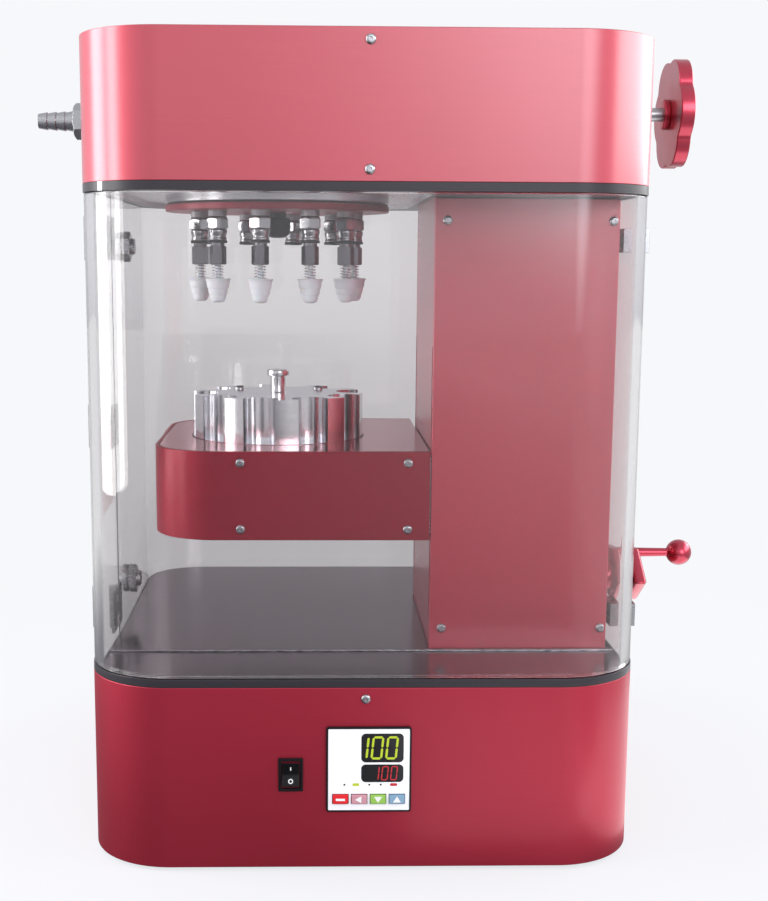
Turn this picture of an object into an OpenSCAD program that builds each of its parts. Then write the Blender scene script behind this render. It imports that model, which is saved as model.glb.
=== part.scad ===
// Parallel vacuum concentrator: base, column with a lifting heated block, plug manifold and clear covers.
// Millimetres. The origin is on the bench under the middle of the housing; the front faces -Y and +Z is up.

/* [Housing] */
// Width of the housing
body_w = 318; // [300:1:340]
// Depth of the housing
body_d = 292; // [280:1:320]
// Outer radius of the upright corners
corner_r = 48; // [40:1:56]
// Sheet thickness of the red shells
shell_t = 3; // [2:0.5:4]
// Gap between the bench and the base shell
foot_gap = 2; // [1:0.5:4]
// Height of the base shell
base_h = 106.5; // [100:0.5:130]
// Height of the visible edge of the deck and roof plates
plate_edge = 4.8; // [4:0.1:7]
// Clear height of the chamber
chamber_h = 268.7; // [262:0.1:300]
// Height of the top shell
top_h = 79.4; // [76:0.1:100]
// Height of the rims that the shells screw to
rim_h = 14; // [12:1:18]
// Width of those rims
rim_t = 10; // [6:1:14]
// Thickness of the lid and of the bottom tray
sheet_t = 3; // [2:0.5:5]
// Height of the bottom tray's rim
tray_rim_h = 26; // [24:1:34]
// Clearance between pieces that are fixed together
fit_gap = 0.3; // [0.2:0.05:0.5]

/* [Feet] */
// Radius of a foot
foot_r = 11; // [8:1:16]
// Height of a foot
foot_h = 6; // [4:1:10]
// Distance of a foot's centre from the sides
foot_in = 58; // [50:1:80]

/* [Screws] */
// Radius of a button head
head_r = 2.8; // [2.4:0.1:3.2]
// Height of a button head
head_h = 1.6; // [1.2:0.1:2]
// Radius of a screw shank
screw_r = 1.5; // [1.2:0.1:1.8]
// Length of a screw shank
screw_l = 8; // [7:0.5:10]
// Radial clearance of a screw hole
screw_gap = 0.1; // [0.05:0.05:0.3]
// Distance of the shell screws from the plate edges
screw_edge = 6.5; // [5:0.1:8]
// Height of the low base screws above the shell's edge
screw_low = 24.6; // [20:0.1:26]
// Radius of a block screw's head
cap_r = 3.5; // [3:0.1:3.8]
// Height of a block screw's head
cap_h = 4; // [3:0.1:5]

/* [Clear covers] */
// Thickness of the clear covers
cover_t = 5; // [4:0.5:6]
// Setback of the covers from the housing outline
cover_in = 0.5; // [0:0.1:1]
// Distance of the split between door and rear cover ahead of the centre
split_front = 52; // [50:1:60]
// Gap between the door and the rear cover
split_gap = 1; // [0.8:0.1:2]
// Gap above and below the door
door_gap = 0.6; // [0.4:0.1:1]
// Thickness of the polished floor tray
floor_tray_t = 1.2; // [0.8:0.1:2]
// Distance of the tray's front edge ahead of the centre
floor_tray_front = 88.5; // [86:0.5:92]
// Gap round the floor tray
floor_tray_gap = 0.6; // [0.4:0.1:1]

/* [Hinges and catches] */
// Height of a hinge
hinge_h = 26; // [20:1:30]
// Length of a hinge leaf from the axis
leaf_l = 16; // [12:1:20]
// Thickness of a hinge leaf
leaf_t = 2.5; // [2:0.1:3]
// Outer radius of a hinge knuckle
knuckle_r = 4; // [3.5:0.1:4.1]
// Distance of the hinge axis from the cover
hinge_off = 4.5; // [4.4:0.1:5.5]
// Radius of a hinge pin
pin_r = 1.6; // [1.2:0.1:2]
// Height of the lowest hinge above the floor
hinge_low = 18.5; // [15.5:0.5:26]
// Distance of the top hinge below the ceiling
hinge_high = 24.2; // [15.5:0.1:30]
// Height of a catch
catch_h = 14; // [10:1:18]
// Length of a catch on the door
catch_l = 22; // [16:1:26]
// Thickness of a catch
catch_t = 9; // [6:0.5:9]
// Reach of a catch over the rear cover
catch_reach = 8; // [5:0.5:10]
// Thickness of the catch's lip
lip_t = 3; // [2:0.5:4]
// Clearance between pieces that pass each other
pass_gap = 0.4; // [0.3:0.05:0.6]

/* [Column] */
// Gap between the column and the clear cover on its right
column_gap = 4.2; // [3.2:0.1:6.5]
// Width of the column
column_w = 109; // [104:0.5:109.5]
// Distance of the column's front ahead of the centre
column_front = 84; // [82:0.5:86]
// Distance of the column's back behind the centre
column_back = 49; // [48:0.5:60]
// Sheet thickness of the column
column_t = 3; // [2:0.5:3.5]
// Distance of the left panel screws from the panel's edge
panel_screw_left = 7.2; // [6.5:0.1:8]
// Distance of the right panel screws from the panel's edge
panel_screw_right = 4.2; // [4:0.1:6]
// Distance of the panel screws from the panel's ends
panel_screw_end = 13.4; // [10:0.1:14]
// Size of a screw tab in the column
tab_w = 12; // [11:0.5:13]

/* [Lift] */
// Radius of a guide rod
rod_r = 6; // [5:0.5:7]
// Distance of the guide rods from the column's left face
rod_in = 39.7; // [37.7:0.1:41.7]
// Distance of the front guide rod ahead of the centre
rod_front = 12; // [10:1:16]
// Distance of the back guide rod behind the centre
rod_back = 28; // [26:1:29]
// Depth that a rod is seated at each end
rod_seat = 10; // [6:1:12]
// Wall round and under a rod's seat
seat_wall = 6; // [4:0.5:8]
// Outer radius of a linear bush
bush_r = 10.5; // [9.5:0.5:11]
// Length of a linear bush
bush_l = 22; // [18:1:22]
// Wall of the slide block beside the bushes
slide_wall = 7.5; // [6:0.5:9]
// Radial clearance of a running fit
run_gap = 0.05; // [0.03:0.01:0.08]
// Upward travel of the arm from its middle position
lift_up = 61; // [50:1:62]
// Downward travel of the arm from its middle position
lift_down = 50; // [40:1:50]
// Gear module
gear_m = 1.5; // [1.25:0.25:1.5]
// Teeth on the pinion
gear_teeth = 26; // [24:1:26]
// Width of the gear teeth
gear_w = 12; // [10:1:14]
// Distance of the gear from the slide block
gear_off = 14; // [13:0.5:16]
// Backlash between pinion and rack
backlash = 0.5; // [0.4:0.1:0.8]
// Depth of the rack behind its pitch line
rack_d = 11; // [9:0.5:12]
// Depth of the bracket behind the rack
bracket_d = 12; // [8:1:16]
// Height of that bracket
bracket_h = 30; // [20:1:36]

/* [Lever] */
// Radius of the lever shaft
shaft_r = 5; // [4:0.5:6]
// Distance of the shaft ahead of the centre
shaft_front = 38; // [36:0.5:39]
// Height of the shaft above the floor
shaft_rise = 35.7; // [34:0.1:38]
// Thickness of the pedestal bearing
pedestal_t = 6; // [4:0.5:7]
// Half width of the pedestal bearing
pedestal_half = 12; // [10:0.5:14]
// Wall of the bush in the column
shaft_bush_t = 2; // [1.5:0.1:3]
// Length of that bush inside the column
shaft_bush_l = 4; // [3:0.5:6]
// Width of that bush's flange
shaft_flange = 3; // [2:0.5:4]
// Length of the lever from shaft to handle
lever_l = 67; // [55:1:75]
// Length of the lever's pointed end ahead of the shaft
lever_nose = 25; // [20:1:30]
// Length of the lever's pointed end behind the handle
lever_tail = 13; // [9:0.5:16]
// Half height of the lever at the shaft
lever_half = 17; // [12:0.5:18]
// Half height of the lever at the handle
lever_end_half = 9; // [7:0.5:12]
// Thickness of the lever
lever_t = 8; // [7.5:0.5:12]
// Distance between the clear cover and the lever
lever_gap = 11; // [10:0.5:14]
// Radius of the lever's hub
hub_r = 9; // [8:0.5:11]
// Distance between the clear cover and the lever's hub
hub_gap = 1.5; // [1:0.1:3]
// Depth that the lever leaves in front of its bores
lever_web = 3; // [2:0.5:4]
// Length of the handle rod to the middle of the ball
handle_l = 43.5; // [34:0.5:50]
// Radius of the handle rod at the lever
handle_r = 3.4; // [3:0.1:4]
// Radius of the handle rod at the ball
handle_tip_r = 2.7; // [2:0.1:3]
// Radius of the ball
ball_r = 8.7; // [6:0.1:10]

/* [Arm] */
// Distance of the arm's end left of the centre
arm_left = 127.5; // [124:0.5:130]
// Distance of the arm's back behind the centre
arm_back = 92; // [88:0.5:98]
// Radius of the arm's left corners
arm_r = 40; // [30:1:48]
// Height of the arm
arm_h = 53.3; // [50:0.1:56]
// Height of the arm's underside above the floor at mid travel
arm_rise = 67.2; // [66:0.1:70]
// Gap between the arm and the column
arm_gap = 0.7; // [0.5:0.1:1]
// Sheet thickness of the arm's wrap
arm_t = 2.5; // [2:0.1:3]
// Thickness of the arm's top and floor plates
arm_plate_t = 3; // [2:0.5:4]
// Setback of the arm's floor plate from the wrap's lower edge
arm_sill = 1; // [0.5:0.1:2]
// Thickness of the arm's side plates
side_t = 3.5; // [3:0.1:4]
// Clearance of the side plates in the column's slots
slot_gap = 0.6; // [0.4:0.1:1]
// Clearance above and below the side plates in the slots
slot_end = 3.5; // [2:0.5:5]
// Place of the left arm screws
arm_screw_left = -73; // [-75:0.5:-68]
// Place of the right arm screws
arm_screw_right = 26.5; // [22:0.5:30]
// Distance of the arm screws from the arm's edges
arm_screw_edge = 6.7; // [6:0.1:8]

/* [Block] */
// Place of the block's axis across the housing
axis_x = -52.5; // [-54:0.5:-50]
// Radius of the block
block_r = 54.7; // [54:0.1:56]
// Height of the block's top above the arm
block_rise = 27.6; // [26:0.1:29]
// Depth of the block below the arm's top
block_sink = 5.8; // [5:0.1:8]
// Gap between the block and the arm's top plate
block_gap = 0.8; // [0.5:0.1:1.5]
// Radius of the circle that pockets and plugs stand on
place_r = 49; // [48.5:0.1:50]
// Turn of the first place from the front
place_turn = -11; // [-18:1:18]
// Radius of a pocket
pocket_r = 11; // [10:0.1:11]
// Depth of a pocket
pocket_d = 27.2; // [18:0.1:28]
// Thickness of the heater
heater_t = 10; // [6:0.5:12]
// Radius of a heater pillar
pillar_r = 6; // [4:0.5:8]
// Distance of the heater pillars from the axis along each side
pillar_at = 32; // [26:0.5:33]
// Sideways distance of the block screws from the axis
cap_side = 26; // [22:0.5:26]
// Distance of the block screws behind the axis
cap_back = 22; // [18:0.5:22]
// Radius of the lifting post
post_r = 4.9; // [4:0.1:6]
// Height of the lifting post
post_h = 14.6; // [12:0.1:17]
// Radius of the post's flange
post_flange_r = 7.3; // [6:0.1:9]
// Height of the post's flange
post_flange_h = 3.8; // [3:0.1:5]
// Radius of the post's stud
post_stud_r = 2.5; // [2:0.1:3]
// Length of the post's stud
post_stud_l = 7; // [5:0.5:10]

/* [Manifold] */
// Radius of the manifold and the plug plate
disc_r = 70.5; // [66:0.1:74]
// Thickness of the manifold's flange
disc_t = 3.9; // [3:0.1:5]
// Height of the groove between manifold and plug plate
groove_h = 0.5; // [0.4:0.1:1]
// Depth of that groove
groove_d = 2; // [1:0.1:4]
// Thickness of the plug plate
plug_plate_t = 2.4; // [2:0.1:3]
// Radius of the manifold's hub
manifold_hub_r = 58; // [57:0.5:60]
// Height of the manifold's hub above the ceiling
manifold_hub_h = 16; // [14:0.5:20]
// Width of the vacuum channel in the manifold
channel_w = 10; // [8:0.5:12]
// Depth of the vacuum channel in the manifold
channel_d = 3; // [2:0.1:4]
// Radius of the clamp knob
clamp_r = 7.6; // [6:0.1:9]
// Height of the clamp knob
clamp_h = 12.5; // [10:0.1:14]
// Chamfer of the clamp knob's lower edge
clamp_edge = 2.5; // [1:0.1:3]
// Radius of the clamp knob's neck
clamp_neck_r = 5.5; // [4.5:0.1:6]
// Height of the clamp knob's neck
clamp_neck_h = 3; // [2:0.1:4]
// Radius of the clamp stud
clamp_stud_r = 3; // [2:0.1:4]
// Length of the clamp stud in the manifold
clamp_stud_l = 8; // [6:0.5:12]

/* [Plugs] */
// Radius of a coupler's body
coupler_r = 5.7; // [5:0.1:6]
// Height of a coupler's body
coupler_h = 17.8; // [16:0.1:20]
// Corner radius of a coupler's nut
nut_r = 7; // [6.4:0.1:7.4]
// Height of a coupler's nut
nut_h = 4.8; // [4:0.1:6]
// Distance of the nut below the plug plate
nut_drop = 5.8; // [5:0.1:7]
// Radius of a coupler's neck
neck_r = 4.2; // [3.6:0.1:4.6]
// Height of a coupler's neck
neck_h = 3.5; // [3:0.1:4]
// Outer radius of a black ring
ring_r = 6; // [5.5:0.1:6.5]
// Height of a black ring
ring_h = 1.8; // [1.2:0.1:2.4]
// Corner radius of a sleeve
sleeve_r = 5.3; // [5:0.1:6]
// Height of a sleeve
sleeve_h = 11.3; // [10:0.1:13]
// Radius of the bore through a coupler
coupler_bore_r = 2; // [1.8:0.1:2.2]
// Radius of the suction hole through a plug
suction_r = 0.8; // [0.5:0.1:1]
// Distance between a sleeve and its plug
spring_h = 8.4; // [8:0.1:10]
// Wire diameter of a spring
wire_d = 0.9; // [0.7:0.1:1]
// Middle radius of a spring
coil_r = 2.85; // [2.7:0.05:3]
// Turns of a spring
coil_turns = 3.5; // [3:0.5:4]
// Radius of a plug's wide end
plug_r = 7.85; // [7:0.05:8]
// Radius of a plug at its step
plug_mid_r = 5.6; // [5.2:0.1:6]
// Radius of a plug's narrow end
plug_tip_r = 3.9; // [3:0.1:5]
// Depth of a plug's step
plug_step = 0.5; // [0.3:0.1:0.6]
// Height of a plug
plug_h = 14.5; // [12:0.1:16]
// Height of the plug's upper cone
plug_upper_h = 8.6; // [6:0.1:10]

/* [Hose nozzle and valve] */
// Distance of the hose nozzle ahead of the centre
barb_front = 20; // [15:1:30]
// Height of the hose nozzle above the top shell's edge
barb_rise = 42; // [36:0.5:46]
// Corner radius of the nozzle's hexagon
barb_hex_r = 11; // [9:0.5:13]
// Length of the nozzle's hexagon
barb_hex_l = 17; // [10:0.5:22]
// Length of the ribbed nozzle
barb_l = 22; // [16:0.5:28]
// Radius of the nozzle at its root
barb_root_r = 6.2; // [5.5:0.1:7]
// Radius of the nozzle at its tip
barb_tip_r = 5; // [4.3:0.1:5.2]
// Depth of a rib on the nozzle
rib_d = 0.6; // [0.4:0.1:0.8]
// Ribs on the nozzle
barb_ribs = 4; // [3:1:5]
// Radius of the bore for the vacuum
barb_bore_r = 3; // [2.5:0.1:3.4]
// Radius of the nozzle's thread
barb_stud_r = 5; // [4.5:0.1:6]
// Reach of the nozzle's thread inside the shell
barb_in = 8; // [5:0.5:12]
// Height of the valve above the top shell's edge
valve_rise = 50.7; // [46:0.1:52]
// Radius of the valve stem
valve_stem_r = 4.2; // [3.5:0.1:5]
// Distance of the knob from the top shell
knob_gap = 35; // [28:0.5:40]
// Thickness of the knob
knob_t = 8.5; // [7:0.1:11]
// Depth that the knob leaves in front of its bore
knob_web = 2; // [1:0.1:3]
// Radius of the knob's middle
knob_mid_r = 21; // [19:0.5:24]
// Radius to the middle of a knob lobe
lobe_at = 17; // [15:0.5:19]
// Radius of a knob lobe
lobe_r = 18; // [16:0.5:19]
// Lobes on the knob
lobes = 6; // [5:1:8]
// Radius of the knob's collar
collar_r = 9.4; // [8:0.1:11]
// Length of the knob's collar
collar_l = 4; // [3:0.1:6]
// Length of the valve body
valve_l = 24; // [20:1:30]
// Half width of the valve body
valve_half = 14; // [10:1:15]
// Radius of the valve's neck
valve_neck_r = 8; // [7:0.5:9]
// Length of the stem inside the valve body
stem_in = 12; // [8:0.5:16]
// Radius of a vacuum pipe
pipe_r = 5; // [4.5:0.5:6]

/* [Controls] */
// Place of the controller across the housing
control_x = 1.9; // [0:0.1:4]
// Height of the controller's centre above the base shell's edge
control_rise = 58; // [54:0.5:62]
// Side of the controller's bezel
control_w = 48; // [46:0.5:50]
// Reach of the bezel ahead of the base
control_out = 2; // [1.8:0.1:4]
// Side of the controller's body
control_body_w = 44.6; // [43:0.1:45]
// Depth of the controller's body
control_body_d = 60; // [40:1:64]
// Spacing of the keys
key_pitch = 10.7; // [10:0.1:11]
// Width of a key
key_w = 8.8; // [7:0.1:9.2]
// Height of a key
key_h = 5.4; // [4:0.1:6]
// Depth of a key
key_d = 3; // [2.5:0.1:3.2]
// Reach of a key ahead of the bezel
key_out = 1; // [0.9:0.1:1.4]
// Distance of the keys below the controller's centre
key_drop = 16.4; // [15:0.1:18]
// Travel of a key
key_travel = 0.6; // [0.4:0.1:0.8]
// Clearance round a key
key_gap = 0.3; // [0.2:0.05:0.4]
// Place of the switch across the housing
switch_x = -42.3; // [-48:0.1:-38]
// Height of the switch above the base shell's edge
switch_rise = 55.9; // [50:0.1:60]
// Width of the switch
switch_w = 14; // [13:0.1:15]
// Height of the switch
switch_h = 19.4; // [18:0.1:21]
// Reach of the switch ahead of the base
switch_out = 2; // [1.5:0.1:3]
// Depth of the switch body
switch_d = 22; // [18:1:26]
// Overlap of the switch's frame on the base
switch_lap = 1; // [0.6:0.1:1.2]
// Width of the switch's frame
switch_frame = 1.7; // [1.5:0.1:2]
// Tilt of the rocker to each side
rocker_tilt = 10; // [6:1:10]
// Depth of the rocker behind the base's face
rocker_d = 5.5; // [4:0.1:6]

/* [Mains inlet] */
// Distance of the mains inlet's flange from the curve of the left corner
inlet_edge = 2; // [0:0.5:20]
// Height of the mains inlet above the base shell's edge
inlet_rise = 48; // [44:1:60]
// Width of the inlet's body
inlet_w = 28; // [27:0.5:30]
// Height of the inlet's body
inlet_h = 20; // [19:0.5:22]
// Width of the inlet's flange beside its body
inlet_lap = 10; // [8:0.5:12]
// Thickness of the inlet's flange
inlet_flange_t = 3; // [2:0.1:4]
// Depth of the inlet's socket
inlet_d = 17; // [15:0.5:19]
// Wall of the inlet's body
inlet_wall = 1.5; // [1:0.1:2]
// Thickness of the inlet's floor
inlet_floor = 7; // [4:0.5:10]
// Length of an inlet pin
inlet_pin_l = 11; // [8:0.5:12]
// Width of an inlet pin
inlet_pin_w = 2; // [1.5:0.1:2.5]
// Height of an inlet pin
inlet_pin_h = 4; // [3:0.1:5]
// Spacing of the inlet pins
inlet_pitch = 7; // [6:0.1:8]

/* [Port plugs] */
// Distance of the port plugs ahead of the centre
port_front = 5; // [0:1:15]
// Height of the lower port plug above the floor
port_low = 26; // [18:0.5:34]
// Distance of the upper port plug below the ceiling
port_high = 28.7; // [18:0.1:34]
// Radius of a port plug's thread
port_r = 5; // [4:0.5:6]
// Reach of a port plug's thread past its nut
port_end = 3; // [1:0.5:5]
// Radius of a port plug's outer head
port_head_r = 9; // [8:0.5:11]
// Height of a port plug's outer head
port_head_h = 4; // [2:0.5:5]
// Corner radius of a port plug's nut
port_nut_r = 9.5; // [8:0.5:11]
// Height of a port plug's nut
port_nut_h = 6; // [4:0.5:8]

/* [Hidden] */
$fn = 48;
eps = 0.01;
hex = 6;

// Levels and outlines of the housing
base_z = foot_gap;
deck_z = base_z + base_h;
floor_z = deck_z + plate_edge;
ceiling_z = floor_z + chamber_h;
roof_z = ceiling_z + plate_edge;
top_z = roof_z + top_h;
front_y = -body_d / 2;
back_y = body_d / 2;
side_x = body_w / 2;
cover_x = side_x - cover_in;
rim_in = shell_t + fit_gap;
hole_r = screw_r + screw_gap;
shell_screw_z = [base_z + screw_low, deck_z - screw_edge, roof_z + screw_edge, top_z - screw_edge];

// Hinges
hinge_x = -cover_x - hinge_off;
hinge_y = -split_front;
hinge_z0 = floor_z + hinge_low;
hinge_z1 = ceiling_z - hinge_high;
hinge_z = [hinge_z0, (hinge_z0 + hinge_z1) / 2, hinge_z1];
knuckle_h = (hinge_h - 2 * pass_gap) / 3;
knuckle_gap = knuckle_r + 1.5 * pass_gap;

// Column
column_y0 = -column_front;
column_y1 = column_back;
column_x1 = cover_x - cover_t - column_gap;
column_x = column_x1 - column_w;
panel_screw_x = [column_x + panel_screw_left, column_x1 - panel_screw_right];
panel_screw_z = [floor_z + panel_screw_end, ceiling_z - panel_screw_end];

// Arm, whose front is flush with the column
arm_front = column_front;
arm_z = floor_z + arm_rise;
arm_top_z = arm_z + arm_h;
arm_x1 = column_x - arm_gap;
arm_floor_z = arm_z + arm_sill;
side_z0 = arm_floor_z + arm_plate_t;
side_z1 = arm_top_z - arm_plate_t;
side_x0 = -arm_left + arm_r;
front_side_y = column_y0 + max(column_t, arm_t) + fit_gap;
back_side_y = column_y1 - column_t - slot_gap - side_t;
rear_side_y = arm_back - arm_t - fit_gap - side_t;
slot_z0 = side_z0 - lift_down - slot_end;
slot_z1 = side_z1 + lift_up + slot_end;
arm_screw_x = [arm_screw_left, arm_screw_right];
arm_screw_z = [arm_z + arm_screw_edge, arm_top_z - arm_screw_edge];

// Slide, rods, rack and pinion
rod_x = column_x + rod_in;
rods = [[rod_x, -rod_front], [rod_x, rod_back]];
slide_half = bush_r + slide_wall;
slide_x0 = rod_x - slide_half;
slide_x1 = rod_x + slide_half;
slide_z1 = side_z1 + bush_l / 4;
slide_z0 = slide_z1 - 2 * bush_l - fit_gap;
pitch_r = gear_m * gear_teeth / 2;
pitch = PI * gear_m;
addendum = 0.9 * gear_m;
dedendum = 1.25 * gear_m;
pressure = 20;
shaft_y = -shaft_front;
shaft_z = floor_z + shaft_rise;
gear_x = slide_x1 + gear_off;
pedestal_x = gear_x - pedestal_t - gear_off / 4;
rack_teeth = 2 * ceil((max(lift_up, lift_down) + 2 * pitch) / pitch);
rack_l = rack_teeth * pitch;
rack_y = shaft_y + pitch_r;
lever_x = cover_x + lever_gap;
shaft_x1 = lever_x + lever_t - lever_web;

// Block and plug circle
places = 10;
place_angles = [for (i = [0 : places - 1]) place_turn + i * 360 / places];
plug_places = [8, 9, 0, 1, 2, 3];
block_top_z = arm_top_z + block_rise;
block_z = arm_top_z - block_sink;
heater_z = block_z - heater_t;

// Manifold, couplers and plugs
disc_z = ceiling_z - disc_t;
plate_z1 = disc_z - groove_h;
plate_z = plate_z1 - plug_plate_t;
coupler_z = plate_z - coupler_h;
sleeve_z1 = coupler_z - neck_h;
sleeve_z = sleeve_z1 - sleeve_h;
plug_z1 = sleeve_z - spring_h;
plug_z = plug_z1 - plug_h;
stem_r = coupler_bore_r - run_gap;

// Nozzle, valve and pipes
barb_y = -barb_front;
barb_z = roof_z + barb_rise;
valve_z = roof_z + valve_rise;
knob_x = side_x + knob_gap;
neck_x1 = side_x - shell_t;
valve_x1 = side_x - rim_in - rim_t - fit_gap;
valve_x = valve_x1 - valve_l;
stem_x = valve_x + valve_l - stem_in;
stem_x1 = knob_x + knob_t - knob_web;
manifold_top_z = ceiling_z + manifold_hub_h;
left_pipe_x = axis_x - sqrt(pow(place_r, 2) - pow(barb_y, 2));
right_pipe_x = axis_x + place_r;

// Controls and ports
control_z = base_z + control_rise;
key_z = control_z - key_drop;
key_y = front_y - control_out - key_out;
switch_z = base_z + switch_rise;
inlet_x = -side_x + corner_r + inlet_edge + inlet_lap + inlet_w / 2;
inlet_z = base_z + inlet_rise;
port_y = -port_front;
port_z = [floor_z + port_low, ceiling_z - port_high];

// Outline of the housing, set in from its edge
module footprint(inset) {
    w = body_w - 2 * inset;
    d = body_d - 2 * inset;
    r = corner_r - inset;
    square([w - 2 * r, d], center = true);
    square([w, d - 2 * r], center = true);
    for (x = [-1, 1], y = [-1, 1]) translate([x * (w / 2 - r), y * (d / 2 - r)]) circle(r);
}

// Solid of the housing outline between two heights
module slab(inset, z0, z1) {
    translate([0, 0, z0]) linear_extrude(z1 - z0) footprint(inset);
}

// Upright wall along the housing outline
module wall(inset, t, z0, z1) {
    difference() {
        slab(inset, z0, z1);
        slab(inset + t, z0 - 1, z1 + 1);
    }
}

// Box between two corners
module block(lo, hi) {
    translate(lo) cube(hi - lo);
}

// Box between two depths, centred on a point of the front or back face
module panel_block(x, z, w, h, y0, y1) {
    block([x - w / 2, y0, z - h / 2], [x + w / 2, y1, z + h / 2]);
}

// Cylinder from a point along +X
module along_x(at, r, l, fn = $fn) {
    translate(at) rotate([0, 90, 0]) cylinder(r = r, h = l, $fn = fn);
}

// Cylinder from a point along +Y
module along_y(at, r, l) {
    translate(at) rotate([-90, 0, 0]) cylinder(r = r, h = l);
}

// Button head screw whose head sits on a face towards -Y, or towards +Y when turned
module screw(at, back = false) {
    translate(at) rotate([0, 0, back ? 180 : 0]) {
        along_y([0, -head_h, 0], head_r, head_h);
        along_y([0, -eps, 0], screw_r, screw_l);
    }
}

// Holes for screws from the front and from the back, to a depth behind each face
module screw_holes(xs, zs, y0, y1, depth) {
    for (x = xs, z = zs) {
        along_y([x, y0 - 1, z], hole_r, depth + 1);
        along_y([x, y1 - depth, z], hole_r, depth + 1);
    }
}

module shell_holes(depth) {
    screw_holes([0], shell_screw_z, front_y, back_y, depth);
}

// Places of the plug circle
function place(i) = [axis_x + place_r * sin(place_angles[i]), -place_r * cos(place_angles[i])];

module at_places() {
    for (i = [0 : places - 1]) translate(place(i)) children();
}

// Places that carry a sleeve, a spring and a plug
module at_plugs() {
    for (i = plug_places) translate(place(i)) children();
}

module base_shell() {
    inside = front_y + shell_t + 1;
    control_hole = control_body_w + 2 * fit_gap;
    lap = 2 * switch_lap;
    color("#a8293c") difference() {
        wall(0, shell_t, base_z, deck_z);
        shell_holes(shell_t + 1);
        panel_block(control_x, control_z, control_hole, control_hole, front_y - 1, inside);
        panel_block(switch_x, switch_z, switch_w - lap, switch_h - lap, front_y - 1, inside);
        panel_block(inlet_x, inlet_z, inlet_w + 2 * fit_gap, inlet_h + 2 * fit_gap, -inside, back_y + 1);
    }
}

module base_plate() {
    color("#3a3a3c") difference() {
        union() {
            slab(rim_in, foot_h, foot_h + sheet_t);
            wall(rim_in, sheet_t, foot_h, foot_h + tray_rim_h);
        }
        shell_holes(rim_in + sheet_t + 1);
    }
}

// One foot near each corner and one in the middle, under the tray
module feet() {
    spots = concat([[0, 0]], [for (x = [-1, 1], y = [-1, 1]) [x * (side_x - foot_in), y * (back_y - foot_in)]]);
    color("#1d1d1f") for (p = spots) translate(p) cylinder(r = foot_r, h = foot_h);
}

// Plate with a visible edge, a rim that reaches into a shell, and seats for the guide rods
module edged_plate(edge_z, rim_z, seat_z, boss_z) {
    difference() {
        union() {
            slab(0, edge_z, edge_z + plate_edge);
            wall(rim_in, rim_t, rim_z, rim_z + rim_h);
            for (p = rods) translate([p.x, p.y, boss_z])
                cylinder(r = rod_r + seat_wall, h = rod_seat + seat_wall - plate_edge / 2);
        }
        shell_holes(rim_in + rim_t);
        for (p = rods) translate([p.x, p.y, seat_z]) cylinder(r = rod_r + run_gap, h = rod_seat + eps);
    }
}

module deck_plate() {
    seat_z = floor_z - rod_seat;
    gap = backlash + 1;
    color("#3d3c42") difference() {
        edged_plate(deck_z, deck_z - rim_h, seat_z, seat_z - seat_wall);
        block([gear_x - gap, rack_y - addendum - gap, deck_z - 1],
              [gear_x + gear_w + gap, rack_y + rack_d + gap, floor_z + 1]);
    }
}

module floor_tray() {
    z1 = floor_z + floor_tray_t;
    color("#77767c") difference() {
        slab(cover_in + cover_t + floor_tray_gap, floor_z, z1);
        block([-body_w, -body_d, floor_z - 1], [body_w, -floor_tray_front, z1 + 1]);
        block([column_x - floor_tray_gap, column_y0 - floor_tray_gap, floor_z - 1],
              [body_w, column_y1 + floor_tray_gap, z1 + 1]);
    }
}

module housing_screws() {
    color("#c9c9cc") {
        for (z = shell_screw_z) {
            screw([0, front_y, z]);
            screw([0, back_y, z], back = true);
        }
        for (x = panel_screw_x, z = panel_screw_z) screw([x, column_y0, z]);
    }
}

module switch_body() {
    lap = 2 * (switch_lap + fit_gap);
    color("#141416") difference() {
        union() {
            panel_block(switch_x, switch_z, switch_w, switch_h, front_y - switch_out, front_y);
            panel_block(switch_x, switch_z, switch_w - lap, switch_h - lap, front_y - eps, front_y + switch_d);
        }
        panel_block(switch_x, switch_z, switch_w - 2 * switch_frame, switch_h - 2 * switch_frame,
                    front_y - switch_out - 1, front_y + rocker_d + 2);
    }
}

// Rocker with two faces that meet at its middle, resting with its upper half pressed in
module switch_rocker() {
    half = switch_h / 2 - switch_frame - 3 * pass_gap;
    w = switch_w - 2 * switch_frame - 2 * fit_gap;
    tip = switch_out + 1.6;
    mid = switch_out + 0.4;
    low = rocker_d / 2;
    heel = half - 1.4;
    profile = [[-tip, -half], [-mid, 0], [-tip, half], [low, heel], [rocker_d, 0], [low, -heel]];
    color("#1b1b1e") translate([switch_x - w / 2, front_y, switch_z]) rotate([-rocker_tilt, 0, 0])
        rotate([90, 0, 90]) linear_extrude(w) polygon(profile);
}

function key_x(i) = control_x + (i - 1.5) * key_pitch;

module controller_case() {
    bottom = key_y + key_d + key_travel + key_gap;
    inner = control_body_w;
    color("#18181a") difference() {
        union() {
            panel_block(control_x, control_z, control_w, control_w, front_y - control_out, front_y);
            panel_block(control_x, control_z, inner, inner, front_y - eps, front_y + control_body_d);
        }
        for (i = [0 : 3])
            panel_block(key_x(i), key_z, key_w + 2 * key_gap, key_h + 2 * key_gap, key_y - 1, bottom);
    }
}

module key(i, tint) {
    color(tint) panel_block(key_x(i), key_z, key_w, key_h, key_y, key_y + key_d);
}

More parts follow.
